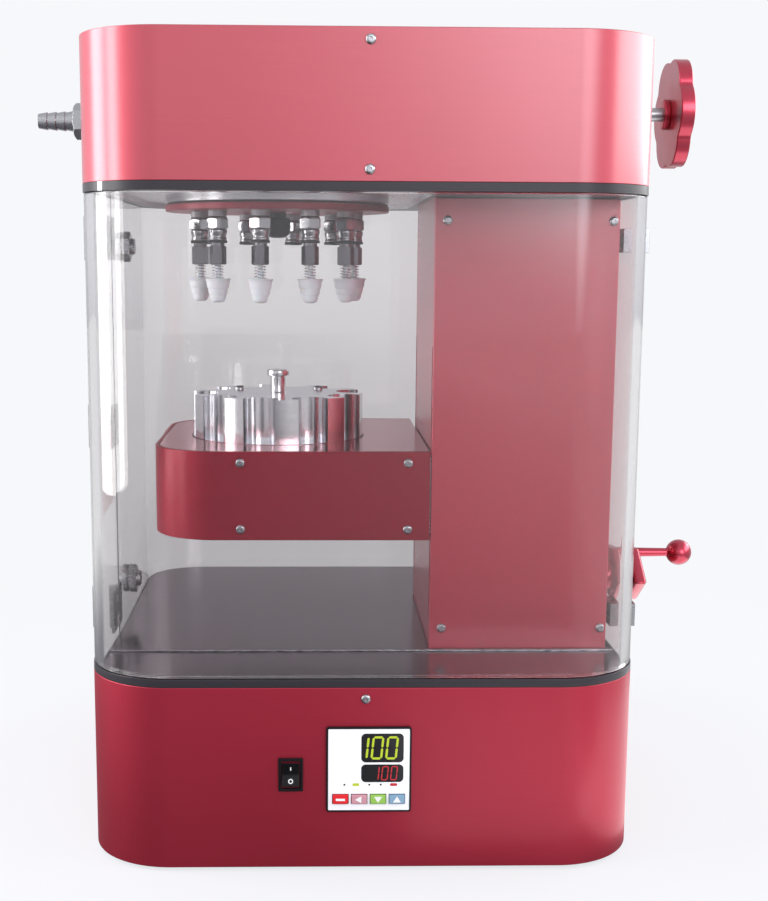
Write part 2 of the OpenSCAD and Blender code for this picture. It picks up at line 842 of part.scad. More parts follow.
module power_inlet() {
    bottom = back_y - inlet_d;
    inner_w = inlet_w - 2 * inlet_wall;
    inner_h = inlet_h - 2 * inlet_wall;
    flange_w = inlet_w + 2 * inlet_lap;
    flange_h = inlet_h + 0.8 * inlet_lap;
    color("#161618") difference() {
        union() {
            panel_block(inlet_x, inlet_z, flange_w, flange_h, back_y, back_y + inlet_flange_t);
            panel_block(inlet_x, inlet_z, inlet_w, inlet_h, bottom - inlet_floor, back_y + eps);
        }
        difference() {
            panel_block(inlet_x, inlet_z, inner_w, inner_h, bottom, back_y + inlet_flange_t + 1);
            for (i = [-1, 0, 1]) translate([i * inlet_pitch, 0, 0])
                panel_block(inlet_x, inlet_z, inlet_pin_w, inlet_pin_h, bottom - 1, bottom + inlet_pin_l);
        }
    }
}

module column_frame() {
    x0 = column_x;
    x1 = column_x1;
    y0 = column_y0 + column_t;
    y1 = column_y1;
    slot_x1 = x0 + column_t + eps;
    color("#a8293c") difference() {
        union() {
            block([x0, y0, floor_z], [x0 + column_t, y1, ceiling_z]);
            block([x1 - column_t, y0, floor_z], [x1, y1, ceiling_z]);
            block([x0, y1 - column_t, floor_z], [x1, y1, ceiling_z]);
            for (z = panel_screw_z) {
                block([x0, y0, z - tab_w / 2], [x0 + tab_w, y0 + column_t, z + tab_w / 2]);
                block([x1 - tab_w, y0, z - tab_w / 2], [x1, y0 + column_t, z + tab_w / 2]);
            }
        }
        block([x0 - 1, y0 - 1, slot_z0], [slot_x1, front_side_y + side_t + slot_gap, slot_z1]);
        block([x0 - 1, back_side_y - slot_gap, slot_z0], [slot_x1, y1 - column_t, slot_z1]);
        for (x = panel_screw_x, z = panel_screw_z) along_y([x, y0 - 1, z], hole_r, screw_l + 1);
        along_x([x1 - column_t - 1, shaft_y, shaft_z], shaft_r + shaft_bush_t + run_gap, column_t + 2);
    }
}

module column_panel() {
    color("#a8293c") difference() {
        block([column_x, column_y0, floor_z], [column_x1, column_y0 + column_t, ceiling_z]);
        for (x = panel_screw_x, z = panel_screw_z) along_y([x, column_y0 - 1, z], hole_r, column_t + 2);
    }
}

module guide_rods() {
    color("#d3d3d6") for (p = rods)
        translate([p.x, p.y, floor_z - rod_seat]) cylinder(r = rod_r, h = chamber_h + 2 * rod_seat);
}

// Pedestal on the floor and flanged bush in the column's right wall
module shaft_bearings() {
    bush_x = column_x1 - column_t - shaft_bush_l;
    bush_outer_r = shaft_r + shaft_bush_t;
    color("#b98a4a") difference() {
        union() {
            block([pedestal_x, shaft_y - pedestal_half, floor_z],
                  [pedestal_x + pedestal_t, shaft_y + pedestal_half, shaft_z + pedestal_half]);
            along_x([bush_x, shaft_y, shaft_z], bush_outer_r, shaft_bush_l + column_t);
            along_x([bush_x, shaft_y, shaft_z], bush_outer_r + shaft_flange, shaft_bush_l);
        }
        along_x([pedestal_x - 1, shaft_y, shaft_z], shaft_r + run_gap, body_w);
    }
}

// Involute tooth: half angle of the tooth at a radius, then its points as radius and angle
base_r = pitch_r * cos(pressure);
root_r = pitch_r - dedendum;
tip_r = pitch_r + addendum;
start_r = max(root_r, base_r);
flank_steps = 5;
function involute(a) = tan(a) * 180 / PI - a;
function half_angle(r) =
    (pitch - backlash) / 4 / pitch_r * 180 / PI + involute(pressure) - involute(acos(min(1, base_r / r)));
flank_r = [for (k = [0 : flank_steps]) start_r + (tip_r - start_r) * k / flank_steps];
rising = [for (r = flank_r) [r, -half_angle(r)]];
falling = [for (k = [flank_steps : -1 : 0]) [flank_r[k], half_angle(flank_r[k])]];
tooth = concat([[root_r, -half_angle(start_r)]], rising, falling, [[root_r, half_angle(start_r)]]);

module pinion_shaft() {
    outline = [for (t = [0 : gear_teeth - 1], p = tooth)
        let (a = t * 360 / gear_teeth + p[1]) [p[0] * cos(a), p[0] * sin(a)]];
    color("#9c9ca2") union() {
        along_x([pedestal_x, shaft_y, shaft_z], shaft_r, shaft_x1 - pedestal_x);
        translate([gear_x, shaft_y, shaft_z]) rotate([90, 0, 90]) linear_extrude(gear_w) polygon(outline);
    }
}

// Outline of the lever from its shaft towards its handle
module lever_outline() {
    polygon([[-lever_nose, 0], [0, lever_half], [lever_l, lever_end_half], [lever_l + lever_tail, 0],
             [lever_l, -lever_end_half], [0, -lever_half]]);
}

module crank_arm() {
    hub_x = cover_x + hub_gap;
    color("#b32b3f") difference() {
        union() {
            translate([lever_x, shaft_y, shaft_z]) rotate([90, 0, 90]) linear_extrude(lever_t) lever_outline();
            along_x([hub_x, shaft_y, shaft_z], hub_r, lever_x - hub_x + eps);
        }
        along_x([hub_x - 1, shaft_y, shaft_z], shaft_r + run_gap, shaft_x1 - hub_x + 1 + run_gap);
        along_x([lever_x + lever_web, shaft_y + lever_l, shaft_z], handle_r + run_gap, lever_t);
    }
}

module crank_handle() {
    seat = lever_t - lever_web - run_gap;
    color("#b32b3f") translate([lever_x + lever_t, shaft_y + lever_l, shaft_z]) rotate([0, 90, 0]) union() {
        translate([0, 0, -seat]) cylinder(r = handle_r, h = seat + eps);
        cylinder(r1 = handle_r, r2 = handle_tip_r, h = handle_l);
        translate([0, 0, handle_l]) sphere(ball_r);
    }
}

// Slide block, side plates, arm floor, heater pillars and rack bracket in one piece
module carriage() {
    low = side_z0 - eps;
    rack_back = rack_y + rack_d;
    bracket_z = (slide_z0 + slide_z1 - bracket_h) / 2;
    back_x0 = axis_x + block_r + side_t;
    color("#8d8d92") difference() {
        union() {
            translate([0, 0, arm_floor_z]) linear_extrude(arm_plate_t) arm_outline(arm_t + fit_gap);
            block([side_x0, front_side_y, low], [slide_x1, front_side_y + side_t, side_z1]);
            block([back_x0, back_side_y, low], [slide_x1, back_side_y + side_t, side_z1]);
            block([side_x0, rear_side_y, low], [arm_x1 - side_t, rear_side_y + side_t, side_z1]);
            block([slide_x0, front_side_y + side_t - eps, slide_z0], [slide_x1, back_side_y + eps, slide_z1]);
            block([slide_x1 - eps, rack_back, bracket_z],
                  [gear_x + gear_w, rack_back + bracket_d, bracket_z + bracket_h]);
            for (x = [-1, 1], y = [-1, 1]) translate([axis_x + x * pillar_at, y * pillar_at, low])
                cylinder(r = pillar_r, h = heater_z - low);
        }
        for (p = rods) translate([p.x, p.y, slide_z0 - 1])
            cylinder(r = bush_r + run_gap, h = slide_z1 - slide_z0 + 2);
        screw_holes(arm_screw_x, arm_screw_z, -arm_front, arm_back, screw_l + 1);
    }
}

module slide_bushes() {
    color("#c4b070") for (p = rods, z = [slide_z0, slide_z1 - bush_l])
        translate([p.x, p.y, z]) difference() {
            cylinder(r = bush_r, h = bush_l);
            translate([0, 0, -1]) cylinder(r = rod_r + run_gap, h = bush_l + 2);
        }
}

// Rack whose gaps meet the pinion's teeth in the middle position
module lift_rack() {
    half = (pitch - backlash) / 4;
    foot = half + dedendum * tan(pressure);
    crest = half - addendum * tan(pressure);
    one = [[dedendum, -foot], [-addendum, -crest], [-addendum, crest], [dedendum, foot]];
    teeth = [for (t = [0 : rack_teeth - 1], p = one) [p[0], (t + 0.5) * pitch + p[1]]];
    outline = concat([[rack_d, 0], [dedendum, 0]], teeth, [[dedendum, rack_l], [rack_d, rack_l]]);
    color("#9c9ca2") translate([gear_x, rack_y, shaft_z - rack_l / 2]) rotate([90, 0, 90])
        linear_extrude(gear_w) polygon(outline);
}

// Outline of the arm, set in from its edge except at the column
module arm_outline(inset) {
    x0 = -arm_left + inset;
    y0 = -arm_front + inset;
    y1 = arm_back - inset;
    r = arm_r - inset;
    translate([x0 + r, y0]) square([arm_x1 - x0 - r, y1 - y0]);
    translate([x0, y0 + r]) square([r + 1, y1 - y0 - 2 * r]);
    for (y = [y0 + r, y1 - r]) translate([x0 + r, y]) circle(r);
}

module arm_cover() {
    color("#a8293c") difference() {
        translate([0, 0, arm_z]) linear_extrude(arm_h) arm_outline(0);
        translate([0, 0, arm_z - 1]) linear_extrude(arm_h + 2) {
            arm_outline(arm_t);
            translate([arm_x1 - 1, -arm_front + arm_t]) square([2, arm_front + arm_back - 2 * arm_t]);
        }
        screw_holes(arm_screw_x, arm_screw_z, -arm_front, arm_back, arm_t + 1);
    }
}

module arm_top() {
    color("#8f6a72") difference() {
        translate([0, 0, side_z1]) linear_extrude(arm_plate_t) arm_outline(arm_t + fit_gap);
        translate([axis_x, 0, side_z1 - 1]) cylinder(r = block_r + block_gap, h = arm_plate_t + 2);
    }
}

module arm_screws() {
    color("#c9c9cc") {
        for (x = arm_screw_x, z = arm_screw_z) {
            screw([x, -arm_front, z]);
            screw([x, arm_back, z], back = true);
        }
        for (s = [-1, 1]) translate([axis_x + s * cap_side, cap_back, block_top_z]) {
            cylinder(r = cap_r, h = cap_h);
            translate([0, 0, -screw_l]) cylinder(r = screw_r, h = screw_l + eps);
        }
    }
}

module heater_plate() {
    color("#6d6a66") translate([axis_x, 0, heater_z]) cylinder(r = block_r - block_gap, h = heater_t);
}

module heat_block() {
    color("#d0d2d6") difference() {
        translate([axis_x, 0, block_z]) cylinder(r = block_r, h = block_top_z - block_z);
        at_places() translate([0, 0, block_top_z - pocket_d]) cylinder(r = pocket_r, h = pocket_d + 1);
        translate([axis_x, 0, block_top_z - post_stud_l - 1])
            cylinder(r = post_stud_r + screw_gap, h = post_stud_l + 2);
        for (s = [-1, 1]) translate([axis_x + s * cap_side, cap_back, block_top_z - screw_l - 1])
            cylinder(r = hole_r, h = screw_l + 2);
    }
}

module block_post() {
    stem_h = post_h - post_flange_h;
    color("#e2e2e6") translate([axis_x, 0, block_top_z]) {
        cylinder(r = post_r, h = stem_h + eps);
        translate([0, 0, stem_h]) cylinder(r = post_flange_r, h = post_flange_h);
        translate([0, 0, -post_stud_l]) cylinder(r = post_stud_r, h = post_stud_l + eps);
    }
}

module roof_plate() {
    color("#3d3c42") difference() {
        edged_plate(ceiling_z, roof_z, ceiling_z - eps, ceiling_z + plate_edge / 2);
        translate([axis_x, 0, ceiling_z - 1]) cylinder(r = manifold_hub_r + fit_gap, h = plate_edge + 2);
    }
}

module top_shell() {
    color("#a8293c") difference() {
        wall(0, shell_t, roof_z, top_z);
        shell_holes(shell_t + 1);
        along_x([-side_x - 1, barb_y, barb_z], barb_stud_r + fit_gap, shell_t + 2);
        along_x([side_x - shell_t - 1, 0, valve_z], valve_stem_r + fit_gap, shell_t + 2);
    }
}

module top_lid() {
    color("#a8293c") difference() {
        union() {
            slab(rim_in, top_z - sheet_t, top_z);
            wall(rim_in, rim_t, top_z - rim_h, top_z);
        }
        shell_holes(rim_in + rim_t);
    }
}

module manifold_disc() {
    bore_z = plate_z1 + channel_d / 2;
    bore_h = manifold_top_z - bore_z + 1;
    color("#c6c8cc") difference() {
        translate([axis_x, 0, 0]) union() {
            translate([0, 0, plate_z1]) cylinder(r = disc_r - groove_d, h = groove_h + eps);
            translate([0, 0, disc_z]) cylinder(r = disc_r, h = disc_t);
            translate([0, 0, ceiling_z - eps]) cylinder(r = manifold_hub_r, h = manifold_hub_h + eps);
        }
        translate([axis_x, 0, plate_z1 - eps]) rotate_extrude()
            translate([place_r - channel_w / 2, 0]) square([channel_w, channel_d]);
        translate([axis_x, 0, plate_z1 - 1]) cylinder(r = clamp_stud_r + run_gap, h = clamp_stud_l + 2);
        translate([left_pipe_x, barb_y, bore_z]) cylinder(r = barb_bore_r, h = bore_h);
        translate([right_pipe_x, 0, bore_z]) cylinder(r = barb_bore_r, h = bore_h);
    }
}

module plug_plate() {
    color("#b32b3f") difference() {
        translate([axis_x, 0, plate_z]) cylinder(r = disc_r, h = plug_plate_t);
        translate([axis_x, 0, plate_z - 1]) cylinder(r = clamp_stud_r + fit_gap, h = plug_plate_t + 2);
        at_places() translate([0, 0, plate_z - 1]) cylinder(r = coupler_bore_r, h = plug_plate_t + 2);
    }
}

module clamp_knob() {
    neck_z = plate_z - fit_gap - clamp_neck_h;
    rim = clamp_edge / 2;
    profile = [[0, 0], [clamp_r - clamp_edge, 0], [clamp_r, clamp_edge], [clamp_r, clamp_h - rim],
               [clamp_r - rim, clamp_h], [0, clamp_h]];
    color("#19171a") translate([axis_x, 0, neck_z]) {
        translate([0, 0, -clamp_h]) rotate_extrude() polygon(profile);
        translate([0, 0, -eps]) cylinder(r = clamp_neck_r, h = clamp_neck_h + eps);
        translate([0, 0, clamp_neck_h - eps])
            cylinder(r = clamp_stud_r, h = fit_gap + plug_plate_t + clamp_stud_l);
    }
}

// Ten couplers, of which the four at the back are spare and end in a short neck
module couplers() {
    spare_h = ring_h + fit_gap;
    color("#cfd0d4") difference() {
        union() {
            at_places() {
                translate([0, 0, coupler_z]) cylinder(r = coupler_r, h = coupler_h);
                translate([0, 0, plate_z - nut_drop - nut_h]) cylinder(r = nut_r, h = nut_h, $fn = hex);
                translate([0, 0, coupler_z - spare_h]) cylinder(r = neck_r, h = spare_h + eps);
            }
            at_plugs() {
                translate([0, 0, sleeve_z1 - eps]) cylinder(r = neck_r, h = neck_h + 2 * eps);
                translate([0, 0, sleeve_z]) cylinder(r = sleeve_r, h = sleeve_h, $fn = hex);
            }
        }
        at_places() translate([0, 0, sleeve_z - 1]) cylinder(r = coupler_bore_r, h = plate_z - sleeve_z + 2);
    }
}

module coupler_rings() {
    color("#1a1a1c") at_places() translate([0, 0, coupler_z - ring_h]) difference() {
        cylinder(r = ring_r, h = ring_h);
        translate([0, 0, -1]) cylinder(r = neck_r + run_gap, h = ring_h + 2);
    }
}

// Spring: one tube whose ends stand straight for one wire diameter
rings_per_turn = 8;
tube_sides = 6;
spring_gap = 0.1;
coil_rings = coil_turns * rings_per_turn;
coil_z0 = plug_z1 + spring_gap;
coil_rise = spring_h - spring_gap - 2 * wire_d;
coil_helix = [for (i = [0 : coil_rings])
    [360 * i / rings_per_turn, coil_z0 + wire_d + coil_rise * i / coil_rings]];
coil_path = concat([[0, coil_z0]], coil_helix, [[360 * coil_turns, sleeve_z]]);
coil_last = len(coil_path) - 1;
function coil_point(i) = [coil_r * cos(coil_path[i][0]), coil_r * sin(coil_path[i][0]), coil_path[i][1]];
function unit(v) = v / norm(v);
function coil_ring(i) =
    let (ahead = coil_point(min(i + 1, coil_last)) - coil_point(max(i - 1, 0)),
         out = [cos(coil_path[i][0]), sin(coil_path[i][0]), 0],
         side = cross(unit(ahead), out))
    [for (k = [0 : tube_sides - 1])
        let (a = 360 * k / tube_sides) coil_point(i) + wire_d / 2 * (cos(a) * out + sin(a) * side)];
coil_points = [for (i = [0 : coil_last], p = coil_ring(i)) p];
coil_sides = [for (i = [0 : coil_last - 1], k = [0 : tube_sides - 1], half = [0, 1])
    let (a = i * tube_sides + k, b = i * tube_sides + (k + 1) % tube_sides)
    half == 0 ? [a, a + tube_sides, b] : [b, a + tube_sides, b + tube_sides]];
coil_end = coil_last * tube_sides;
coil_caps = [for (k = [1 : tube_sides - 2], top = [0, 1])
    top == 0 ? [0, k, k + 1] : [coil_end, coil_end + k + 1, coil_end + k]];
coil_least_gap = min([for (i = [1 : coil_last - 1], j = [i + rings_per_turn / 2 : coil_last - 1])
    norm(coil_point(i) - coil_point(j))]) - wire_d;
echo(coil_least_gap = coil_least_gap);

module plug_springs() {
    color("#c2c2c6") at_plugs() polyhedron(coil_points, concat(coil_sides, coil_caps));
}

// White plug with a stepped cone, a stem in the coupler and a suction hole
module plug(i) {
    step_z = plug_z1 - plug_upper_h;
    edge = plug_step;
    profile = [[suction_r, plug_z], [plug_tip_r - edge, plug_z], [plug_tip_r, plug_z + edge],
               [plug_mid_r - plug_step, step_z], [plug_mid_r, step_z], [plug_r - edge, plug_z1 - 2 * edge],
               [plug_r, plug_z1 - edge], [plug_r, plug_z1], [stem_r, plug_z1], [stem_r, sleeve_z1],
               [suction_r, sleeve_z1]];
    color("#f2f2f0") translate(place(plug_places[i])) rotate_extrude() polygon(profile);
}

module hose_barb() {
    low = -shell_t - barb_in;
    step = barb_l / barb_ribs;
    taper = (barb_root_r - barb_tip_r) / barb_ribs;
    color("#b5b6ba") translate([-side_x, barb_y, barb_z]) rotate([0, -90, 0]) difference() {
        union() {
            cylinder(r = barb_hex_r, h = barb_hex_l, $fn = hex);
            translate([0, 0, low]) cylinder(r = barb_stud_r, h = eps - low);
            for (i = [0 : barb_ribs - 1]) let (r = barb_root_r - i * taper)
                translate([0, 0, barb_hex_l + i * step - eps])
                    cylinder(r1 = r, r2 = r - taper - rib_d, h = step + eps);
        }
        translate([0, 0, low - 1]) cylinder(r = barb_bore_r, h = barb_hex_l + barb_l - low + 2);
    }
}

module valve_knob() {
    color("#b32b3f") translate([knob_x, 0, valve_z]) rotate([90, 0, 90]) difference() {
        union() {
            linear_extrude(knob_t) {
                circle(knob_mid_r);
                for (i = [0 : lobes - 1]) rotate(360 * i / lobes) translate([lobe_at, 0]) circle(lobe_r);
            }
            translate([0, 0, -collar_l]) cylinder(r = collar_r, h = collar_l + eps);
        }
        translate([0, 0, -collar_l - 1])
            cylinder(r = valve_stem_r + run_gap, h = collar_l + knob_t - knob_web + 1);
    }
}

module valve_stem() {
    color("#b5b6ba") along_x([stem_x, 0, valve_z], valve_stem_r, stem_x1 - run_gap - stem_x);
}

module valve_body() {
    color("#b98a4a") difference() {
        union() {
            block([valve_x, -valve_half, valve_z - valve_half], [valve_x1, valve_half, valve_z + valve_half]);
            along_x([valve_x1 - eps, 0, valve_z], valve_neck_r, neck_x1 - valve_x1 + eps);
        }
        along_x([stem_x - run_gap, 0, valve_z], valve_stem_r + run_gap, body_w);
        along_x([valve_x - 1, 0, valve_z], barb_bore_r, valve_l);
    }
}

// Pipe of one radius from a side fitting to the top of the manifold, with its bend
module pipe(r, x_end, x_down, y, z, extra) {
    x0 = min(x_end, x_down) - (x_end < x_down ? extra : 0);
    along_x([x0, y, z], r, abs(x_end - x_down) + extra);
    translate([x_down, y, manifold_top_z - extra]) cylinder(r = r, h = z - manifold_top_z + extra);
    translate([x_down, y, z]) sphere(r);
}

module hollow_pipe(x_end, x_down, y, z) {
    difference() {
        pipe(pipe_r, x_end, x_down, y, z, 0);
        pipe(barb_bore_r, x_end, x_down, y, z, 1);
    }
}

module vacuum_line() {
    color("#7f8086") {
        hollow_pipe(-side_x + shell_t + barb_in, left_pipe_x, barb_y, barb_z);
        hollow_pipe(valve_x, right_pipe_x, 0, valve_z);
    }
}

module door() {
    color("#dfe6ea") intersection() {
        wall(cover_in, cover_t, floor_z + door_gap, ceiling_z - door_gap);
        block([-body_w, -body_d, 0], [body_w, hinge_y - split_gap / 2, top_z]);
    }
}

module rear_cover() {
    color("#dfe6ea") difference() {
        wall(cover_in, cover_t, floor_z, ceiling_z);
        block([-body_w, -body_d, 0], [body_w, hinge_y + split_gap / 2, top_z]);
        along_x([cover_x - cover_t - 1, shaft_y, shaft_z], shaft_r + shaft_bush_t, cover_t + 2);
        for (z = port_z) along_x([-cover_x - 1, port_y, z], port_r + fit_gap, cover_t + 2);
    }
}

// Knuckles of a hinge: the outer pair or the middle one
module knuckles(z, middle, r, h) {
    for (k = middle ? [0] : [-1, 1])
        translate([hinge_x, hinge_y, z + k * (knuckle_h + pass_gap) - h / 2]) cylinder(r = r, h = h);
}

// Plate of a hinge on the cover, cut clear of the other plate's knuckles
module hinge_plate(z, side) {
    x0 = -cover_x - leaf_t;
    y_near = hinge_y + side * split_gap / 2;
    y_far = hinge_y + side * leaf_l;
    reach = side * knuckle_gap;
    difference() {
        block([x0, min(y_near, y_far), z - hinge_h / 2], [-cover_x, max(y_near, y_far), z + hinge_h / 2]);
        for (k = side > 0 ? [0] : [-1, 1]) translate([0, 0, z + k * (knuckle_h + pass_gap)])
            block([x0 - 1, hinge_y + min(0, reach), -knuckle_h / 2 - pass_gap],
                  [-cover_x + 1, hinge_y + max(0, reach), knuckle_h / 2 + pass_gap]);
    }
}

module fixed_hinge_leaves() {
    color("#b9babf") for (z = hinge_z) union() {
        hinge_plate(z, 1);
        knuckles(z, false, knuckle_r, knuckle_h);
        translate([hinge_x, hinge_y, z - hinge_h / 2]) cylinder(r = pin_r, h = hinge_h);
    }
}

module door_hinge_leaves() {
    color("#b9babf") for (z = hinge_z) difference() {
        union() {
            hinge_plate(z, -1);
            knuckles(z, true, knuckle_r, knuckle_h);
        }
        knuckles(z, true, pin_r + run_gap, knuckle_h + 1);
    }
}

module door_catches() {
    y1 = hinge_y - split_gap;
    x0 = cover_x + pass_gap;
    color("#b9babf") for (z = [hinge_z[0], hinge_z[2]]) {
        block([cover_x, y1 - catch_l, z - catch_h / 2], [cover_x + catch_t, y1, z + catch_h / 2]);
        block([x0, y1 - eps, z - catch_h / 2], [x0 + lip_t, y1 + catch_reach, z + catch_h / 2]);
    }
}

module port_plugs() {
    inner_x = -cover_x + cover_t;
    color("#a9abb0") for (z = port_z) {
        along_x([-cover_x - port_head_h, port_y, z], port_head_r, port_head_h);
        along_x([-cover_x - eps, port_y, z], port_r, cover_t + port_nut_h + port_end);
        along_x([inner_x, port_y, z], port_nut_r, port_nut_h, hex);
    }
}

base_shell();
base_plate();
feet();
deck_plate();
floor_tray();
housing_screws();
switch_body();
switch_rocker();
controller_case();
key(0, "#c8242c");  // key_set
key(1, "#e39aa4");  // key_left
key(2, "#6fae5a");  // key_down
key(3, "#7f9cc0");  // key_up
power_inlet();
column_frame();
column_panel();
guide_rods();
shaft_bearings();
pinion_shaft();
crank_arm();
crank_handle();
carriage();
slide_bushes();
lift_rack();
arm_cover();
arm_top();
arm_screws();
heater_plate();
heat_block();
block_post();
roof_plate();
top_shell();
top_lid();
manifold_disc();
plug_plate();
clamp_knob();
couplers();
coupler_rings();
plug_springs();
plug(0);  // plug_01
plug(1);  // plug_02
plug(2);  // plug_03
plug(3);  // plug_04
plug(4);  // plug_05
plug(5);  // plug_06
hose_barb();
valve_knob();
valve_stem();
valve_body();
vacuum_line();
door();
rear_cover();
fixed_hinge_leaves();
door_hinge_leaves();
door_catches();
port_plugs();
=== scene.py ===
import math

import bmesh
import bpy
from mathutils import Matrix, Vector


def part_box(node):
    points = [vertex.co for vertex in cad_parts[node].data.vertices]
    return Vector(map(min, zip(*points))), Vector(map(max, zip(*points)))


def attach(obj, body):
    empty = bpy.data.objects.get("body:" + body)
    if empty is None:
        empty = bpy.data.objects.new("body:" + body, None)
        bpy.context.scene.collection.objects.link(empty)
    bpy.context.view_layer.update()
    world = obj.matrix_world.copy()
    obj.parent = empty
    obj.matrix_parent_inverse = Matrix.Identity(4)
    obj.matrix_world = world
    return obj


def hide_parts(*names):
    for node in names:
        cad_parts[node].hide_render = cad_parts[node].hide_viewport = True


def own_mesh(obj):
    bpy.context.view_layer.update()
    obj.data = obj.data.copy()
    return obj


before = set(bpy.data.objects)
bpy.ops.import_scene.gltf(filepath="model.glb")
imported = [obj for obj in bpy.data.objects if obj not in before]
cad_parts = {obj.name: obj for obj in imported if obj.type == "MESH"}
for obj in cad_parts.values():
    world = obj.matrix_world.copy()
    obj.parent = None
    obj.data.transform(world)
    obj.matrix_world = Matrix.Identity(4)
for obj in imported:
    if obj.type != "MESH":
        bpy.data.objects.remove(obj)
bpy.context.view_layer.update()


# Bottom tray: folded steel sheet, powder coated in dark grey, which closes the base from below.
# The coating sets with an orange-peel skin of about 1.5 mm, so its gloss is broken up.
def linear(colour):
    """An sRGB hex colour as linear RGBA."""
    parts = [int(colour[i:i + 2], 16) / 255 for i in (1, 3, 5)]
    return [p / 12.92 if p <= 0.04045 else ((p + 0.055) / 1.055) ** 2.4 for p in parts] + [1.0]


def add(tree, kind, given=None):
    """One node; what is given is a setting, a socket's value, or an output to link (of a node, its first)."""
    made = tree.nodes.new(kind)
    given = given or {}
    for key in [k for k in given if isinstance(k, str) and k not in made.inputs]:
        setattr(made, key, given[key])
    for key in [k for k in given if isinstance(k, int) or k in made.inputs]:
        value = given[key].outputs[0] if isinstance(given[key], bpy.types.Node) else given[key]
        if isinstance(value, bpy.types.NodeSocket):
            tree.links.new(value, made.inputs[key])
        else:
            made.inputs[key].default_value = value
    return made


def start_finish(name, even):
    """A new material with its even values on the shader's own sockets; its patterns read the spot on the piece."""
    made = bpy.data.materials.new(name)
    made.use_nodes = True
    tree = made.node_tree
    for socket, value in even.items():
        tree.nodes["Principled BSDF"].inputs[socket].default_value = value
    return made, tree, add(tree, "ShaderNodeTexCoord").outputs["Object"]


def spread(finish, pattern, tints=None, gloss=None, relief=None):
    """Let a pattern move a finish between two tints and two roughnesses, and raise its skin."""
    tree = finish.node_tree
    shader = tree.nodes["Principled BSDF"]
    if tints:
        tint = add(tree, "ShaderNodeMix", {
            "data_type": "RGBA", 0: pattern, 6: linear(tints[0]), 7: linear(tints[1])})
        tree.links.new(tint.outputs[2], shader.inputs["Base Color"])
    if gloss:
        rough = add(tree, "ShaderNodeMapRange", {"Value": pattern, "To Min": gloss[0], "To Max": gloss[1]})
        tree.links.new(rough.outputs[0], shader.inputs["Roughness"])
    if relief:
        skin = add(tree, "ShaderNodeBump", {"Height": pattern, "Strength": relief[0], "Distance": relief[1]})
        tree.links.new(skin.outputs[0], shader.inputs["Normal"])


def grained(name, even, spacing, tints=None, gloss=None, relief=None, detail=2.0):
    """A finish with one noise in it, of a spacing in millimetres, or of three along X, Y and Z."""
    made, tree, spot = start_finish(name, even)
    if isinstance(spacing, tuple):
        spot = add(tree, "ShaderNodeMapping", {"Vector": spot, "Scale": [1000 / s for s in spacing]})
        spacing = 1000
    noise = add(tree, "ShaderNodeTexNoise", {"Vector": spot, "Scale": 1000 / spacing, "Detail": detail})
    spread(made, noise, tints, gloss, relief)
    return made


def dress(finish, *nodes):
    """Give CAD nodes that show as they are their finish."""
    for name in nodes:
        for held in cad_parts[name].material_slots:
            held.material = finish


powder_coat = grained("powder-coated steel", {"Base Color": linear("#39393b")}, 1.5,
                      gloss=(0.42, 0.58), relief=(0.25, 0.0002))
dress(powder_coat, "base_plate")


# Feet: five moulded rubber bumpers screwed up into the tray, one near each corner and one in the middle.
# Each is turned with a round lower edge and a dished screw recess, and set out by geometry nodes.
def turned(profile, steps=48, at=(0, 0, 0), axis="Z", closed=False, shape=None):
    """Turn (radius, height) points about an axis, as a new shape or in one; a radius of 0 closes that end."""
    shape = shape or bmesh.new()
    rings = []
    for r, h in profile:
        ring = []
        for i in range(steps if r else 1):
            a = 2 * math.pi * i / steps
            u, v = r * math.cos(a), r * math.sin(a)
            p = {"X": (h, u, v), "Y": (u, h, v), "Z": (u, v, h)}[axis]
            ring.append(shape.verts.new([p[k] + at[k] for k in range(3)]))
        rings.append(ring)
    for low, high in zip(rings, rings[1:] + (rings[:1] if closed else [])):
        for i in range(steps):
            j = (i + 1) % steps
            corners = [low[i % len(low)], low[j % len(low)], high[j % len(high)], high[i % len(high)]]
            corners = list(dict.fromkeys(corners))
            if len(corners) > 2:
                shape.faces.new(corners)
    return shape


def put(name, held):
    """A new object in the scene, which holds a mesh, a lamp or a lens."""
    item = bpy.data.objects.new(name, held)
    bpy.context.scene.collection.objects.link(item)
    return item


def bake(item):
    """Put the mesh that an object's modifiers make in their place."""
    made = bpy.data.meshes.new_from_object(item.evaluated_get(bpy.context.evaluated_depsgraph_get()))
    item.modifiers.clear()
    item.data = made
    return item


def form(name, shape, finish, ease=0.0, rounds=2, crease=38, holes=(), cuts=()):
    """A finished object in metres from a shape in millimetres: holes drilled, then edges eased."""
    bmesh.ops.remove_doubles(shape, verts=shape.verts[:], dist=0.0005)
    bmesh.ops.recalc_face_normals(shape, faces=shape.faces[:])
    bmesh.ops.scale(shape, vec=(0.001, 0.001, 0.001), verts=shape.verts[:])
    mesh = bpy.data.meshes.new(name)
    shape.to_mesh(mesh)
    shape.free()
    mesh.materials.append(finish)
    mesh.shade_smooth()
    item = put(name, mesh)
    cuts = list(cuts)
    for at, axis, r, length in holes:
        cuts.append(turned([(0, -length), (r, -length), (r, length), (0, length)], 64, at, axis))
    drills = []
    for tool in cuts:
        drills.append(form(name + "_drill", tool, finish))
        cut = item.modifiers.new("Hole", "BOOLEAN")
        cut.operation = "DIFFERENCE"
        cut.solver = "EXACT"
        cut.object = drills[-1]
    if ease:
        bevel = item.modifiers.new("Eased edges", "BEVEL")
        bevel.width = ease / 1000
        bevel.segments = rounds
        bevel.limit_method = "ANGLE"
        bevel.angle_limit = math.radians(crease)
    else:
        mesh.set_sharp_from_angle(angle=math.radians(crease))
    item.modifiers.new("Even shading", "WEIGHTED_NORMAL").keep_sharp = True
    bake(item)
    for drill in drills:
        bpy.data.objects.remove(drill)
    return item


